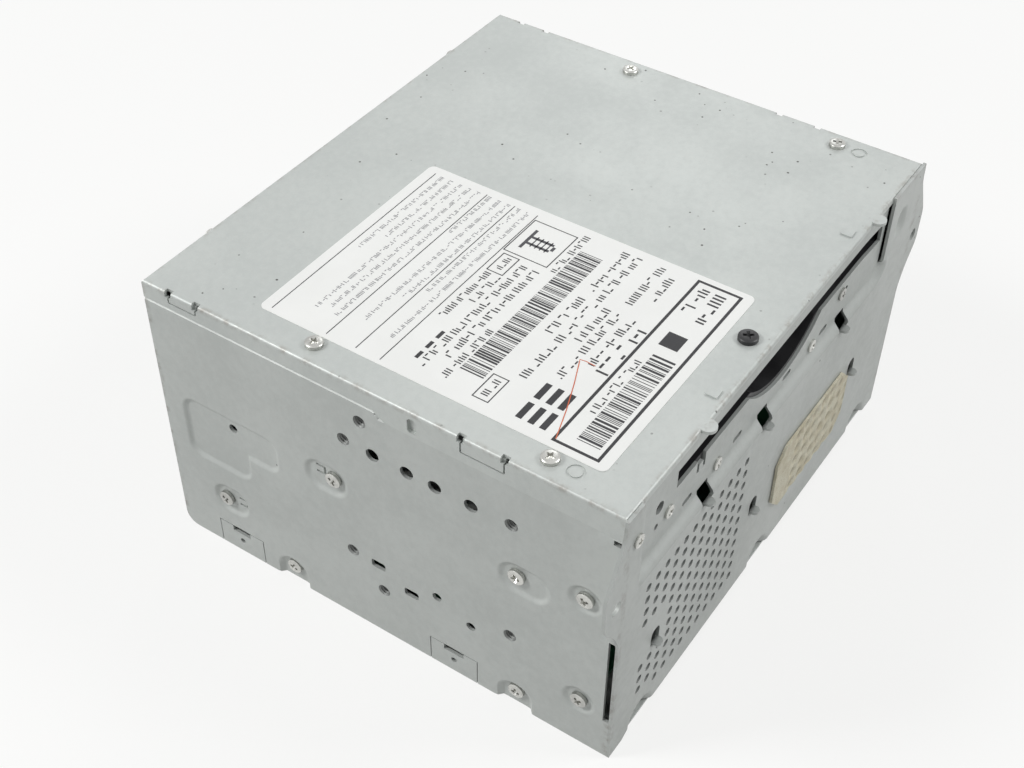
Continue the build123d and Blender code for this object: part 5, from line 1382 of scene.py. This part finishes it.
def white_to_eye(tree):
    """1 for the rays that see the white studio itself: camera, mirror and glass rays."""
    rays = tree.nodes.new("ShaderNodeLightPath")
    return math(tree, "MAXIMUM", rays.outputs["Is Camera Ray"],
                math(tree, "MAXIMUM", rays.outputs["Is Glossy Ray"], rays.outputs["Is Transmission Ray"]))


def blend_out(tree, mask, first, second, output):
    """Two shaders mixed by a mask, as what the output shows."""
    blend = add(tree, "ShaderNodeMixShader", i0=mask, i1=first.outputs[0], i2=second.outputs[0])
    tree.links.new(blend.outputs[0], tree.nodes[output].inputs["Surface"])


def floor_material():
    """Near-white studio floor that keeps a soft shadow and runs out to plain white."""
    material, tree, shader = new_material("studio_floor", (0.8, 0.8, 0.8), 0.7)
    seen = white_to_eye(tree)
    place = object_place(tree)
    pale = mix(tree, noise(tree, place, 8.0, 4.0), (0.87, 0.87, 0.86), (0.9, 0.9, 0.89))
    feed(tree, shader, Base_Color=mix(tree, seen, (0.5, 0.5, 0.49), pale))
    glow = add(tree, "ShaderNodeEmission", Color=(1, 1, 0.99, 1), Strength=1.0)
    reach = add(tree, "ShaderNodeVectorMath", {"operation": "LENGTH"}, i0=place).outputs["Value"]
    share = ramp(tree, reach, fade_start, fade_end, floor_glow, 1.0)
    blend_out(tree, math(tree, "MULTIPLY", seen, share), shader, glow, "Material Output")
    return material


def floor():
    corners = [(x * floor_size, y * floor_size, 0) for x, y in ((-1, -1), (1, -1), (1, 1), (-1, 1))]
    mesh = bpy.data.meshes.new("studio_floor")
    mesh.from_pydata(corners, [], [(0, 1, 2, 3)])
    mesh.materials.append(floor_material())
    piece = bpy.data.objects.new("studio_floor", mesh)
    bpy.context.scene.collection.objects.link(piece)


def world_light():
    """Dim soft light all round, which the eye sees as plain white."""
    world = bpy.data.worlds.new("studio")
    world.use_nodes = True
    tree = world.node_tree
    soft = tree.nodes["Background"]
    soft.inputs["Color"].default_value = (0.93, 0.96, 1.0, 1)
    soft.inputs["Strength"].default_value = world_strength
    white = add(tree, "ShaderNodeBackground", Color=(1, 1, 1, 1), Strength=1.0)
    blend_out(tree, white_to_eye(tree), soft, white, "World Output")
    bpy.context.scene.world = world


def soft_box(name, place, aim, size, power, colour=(1, 1, 1)):
    """A lit panel that faces a point, its power in watts."""
    light = bpy.data.lights.new(name, "AREA")
    light.energy = power
    light.shape = "RECTANGLE"
    light.size, light.size_y = size
    light.color = colour
    lamp = bpy.data.objects.new(name, light)
    lamp.location = place
    lamp.rotation_euler = (Vector(aim) - Vector(place)).to_track_quat("-Z", "Y").to_euler()
    bpy.context.scene.collection.objects.link(lamp)


floor()
world_light()
soft_box("rear_left_panel", (-0.75, 0.75, 1.0), (0, 0, 0.05), (0.4, 0.4), 11.2)
soft_box("front_right_panel", (0.5, -0.85, 0.95), (0, 0, 0.05), (0.4, 0.4), 7.0)
soft_box("window", (0.82, 0.39, 0.7), (0, 0, 0.08), (0.3, 0.4), 0.7, (0.97, 0.99, 1.0))

bpy.context.scene.view_settings.view_transform = "Standard"
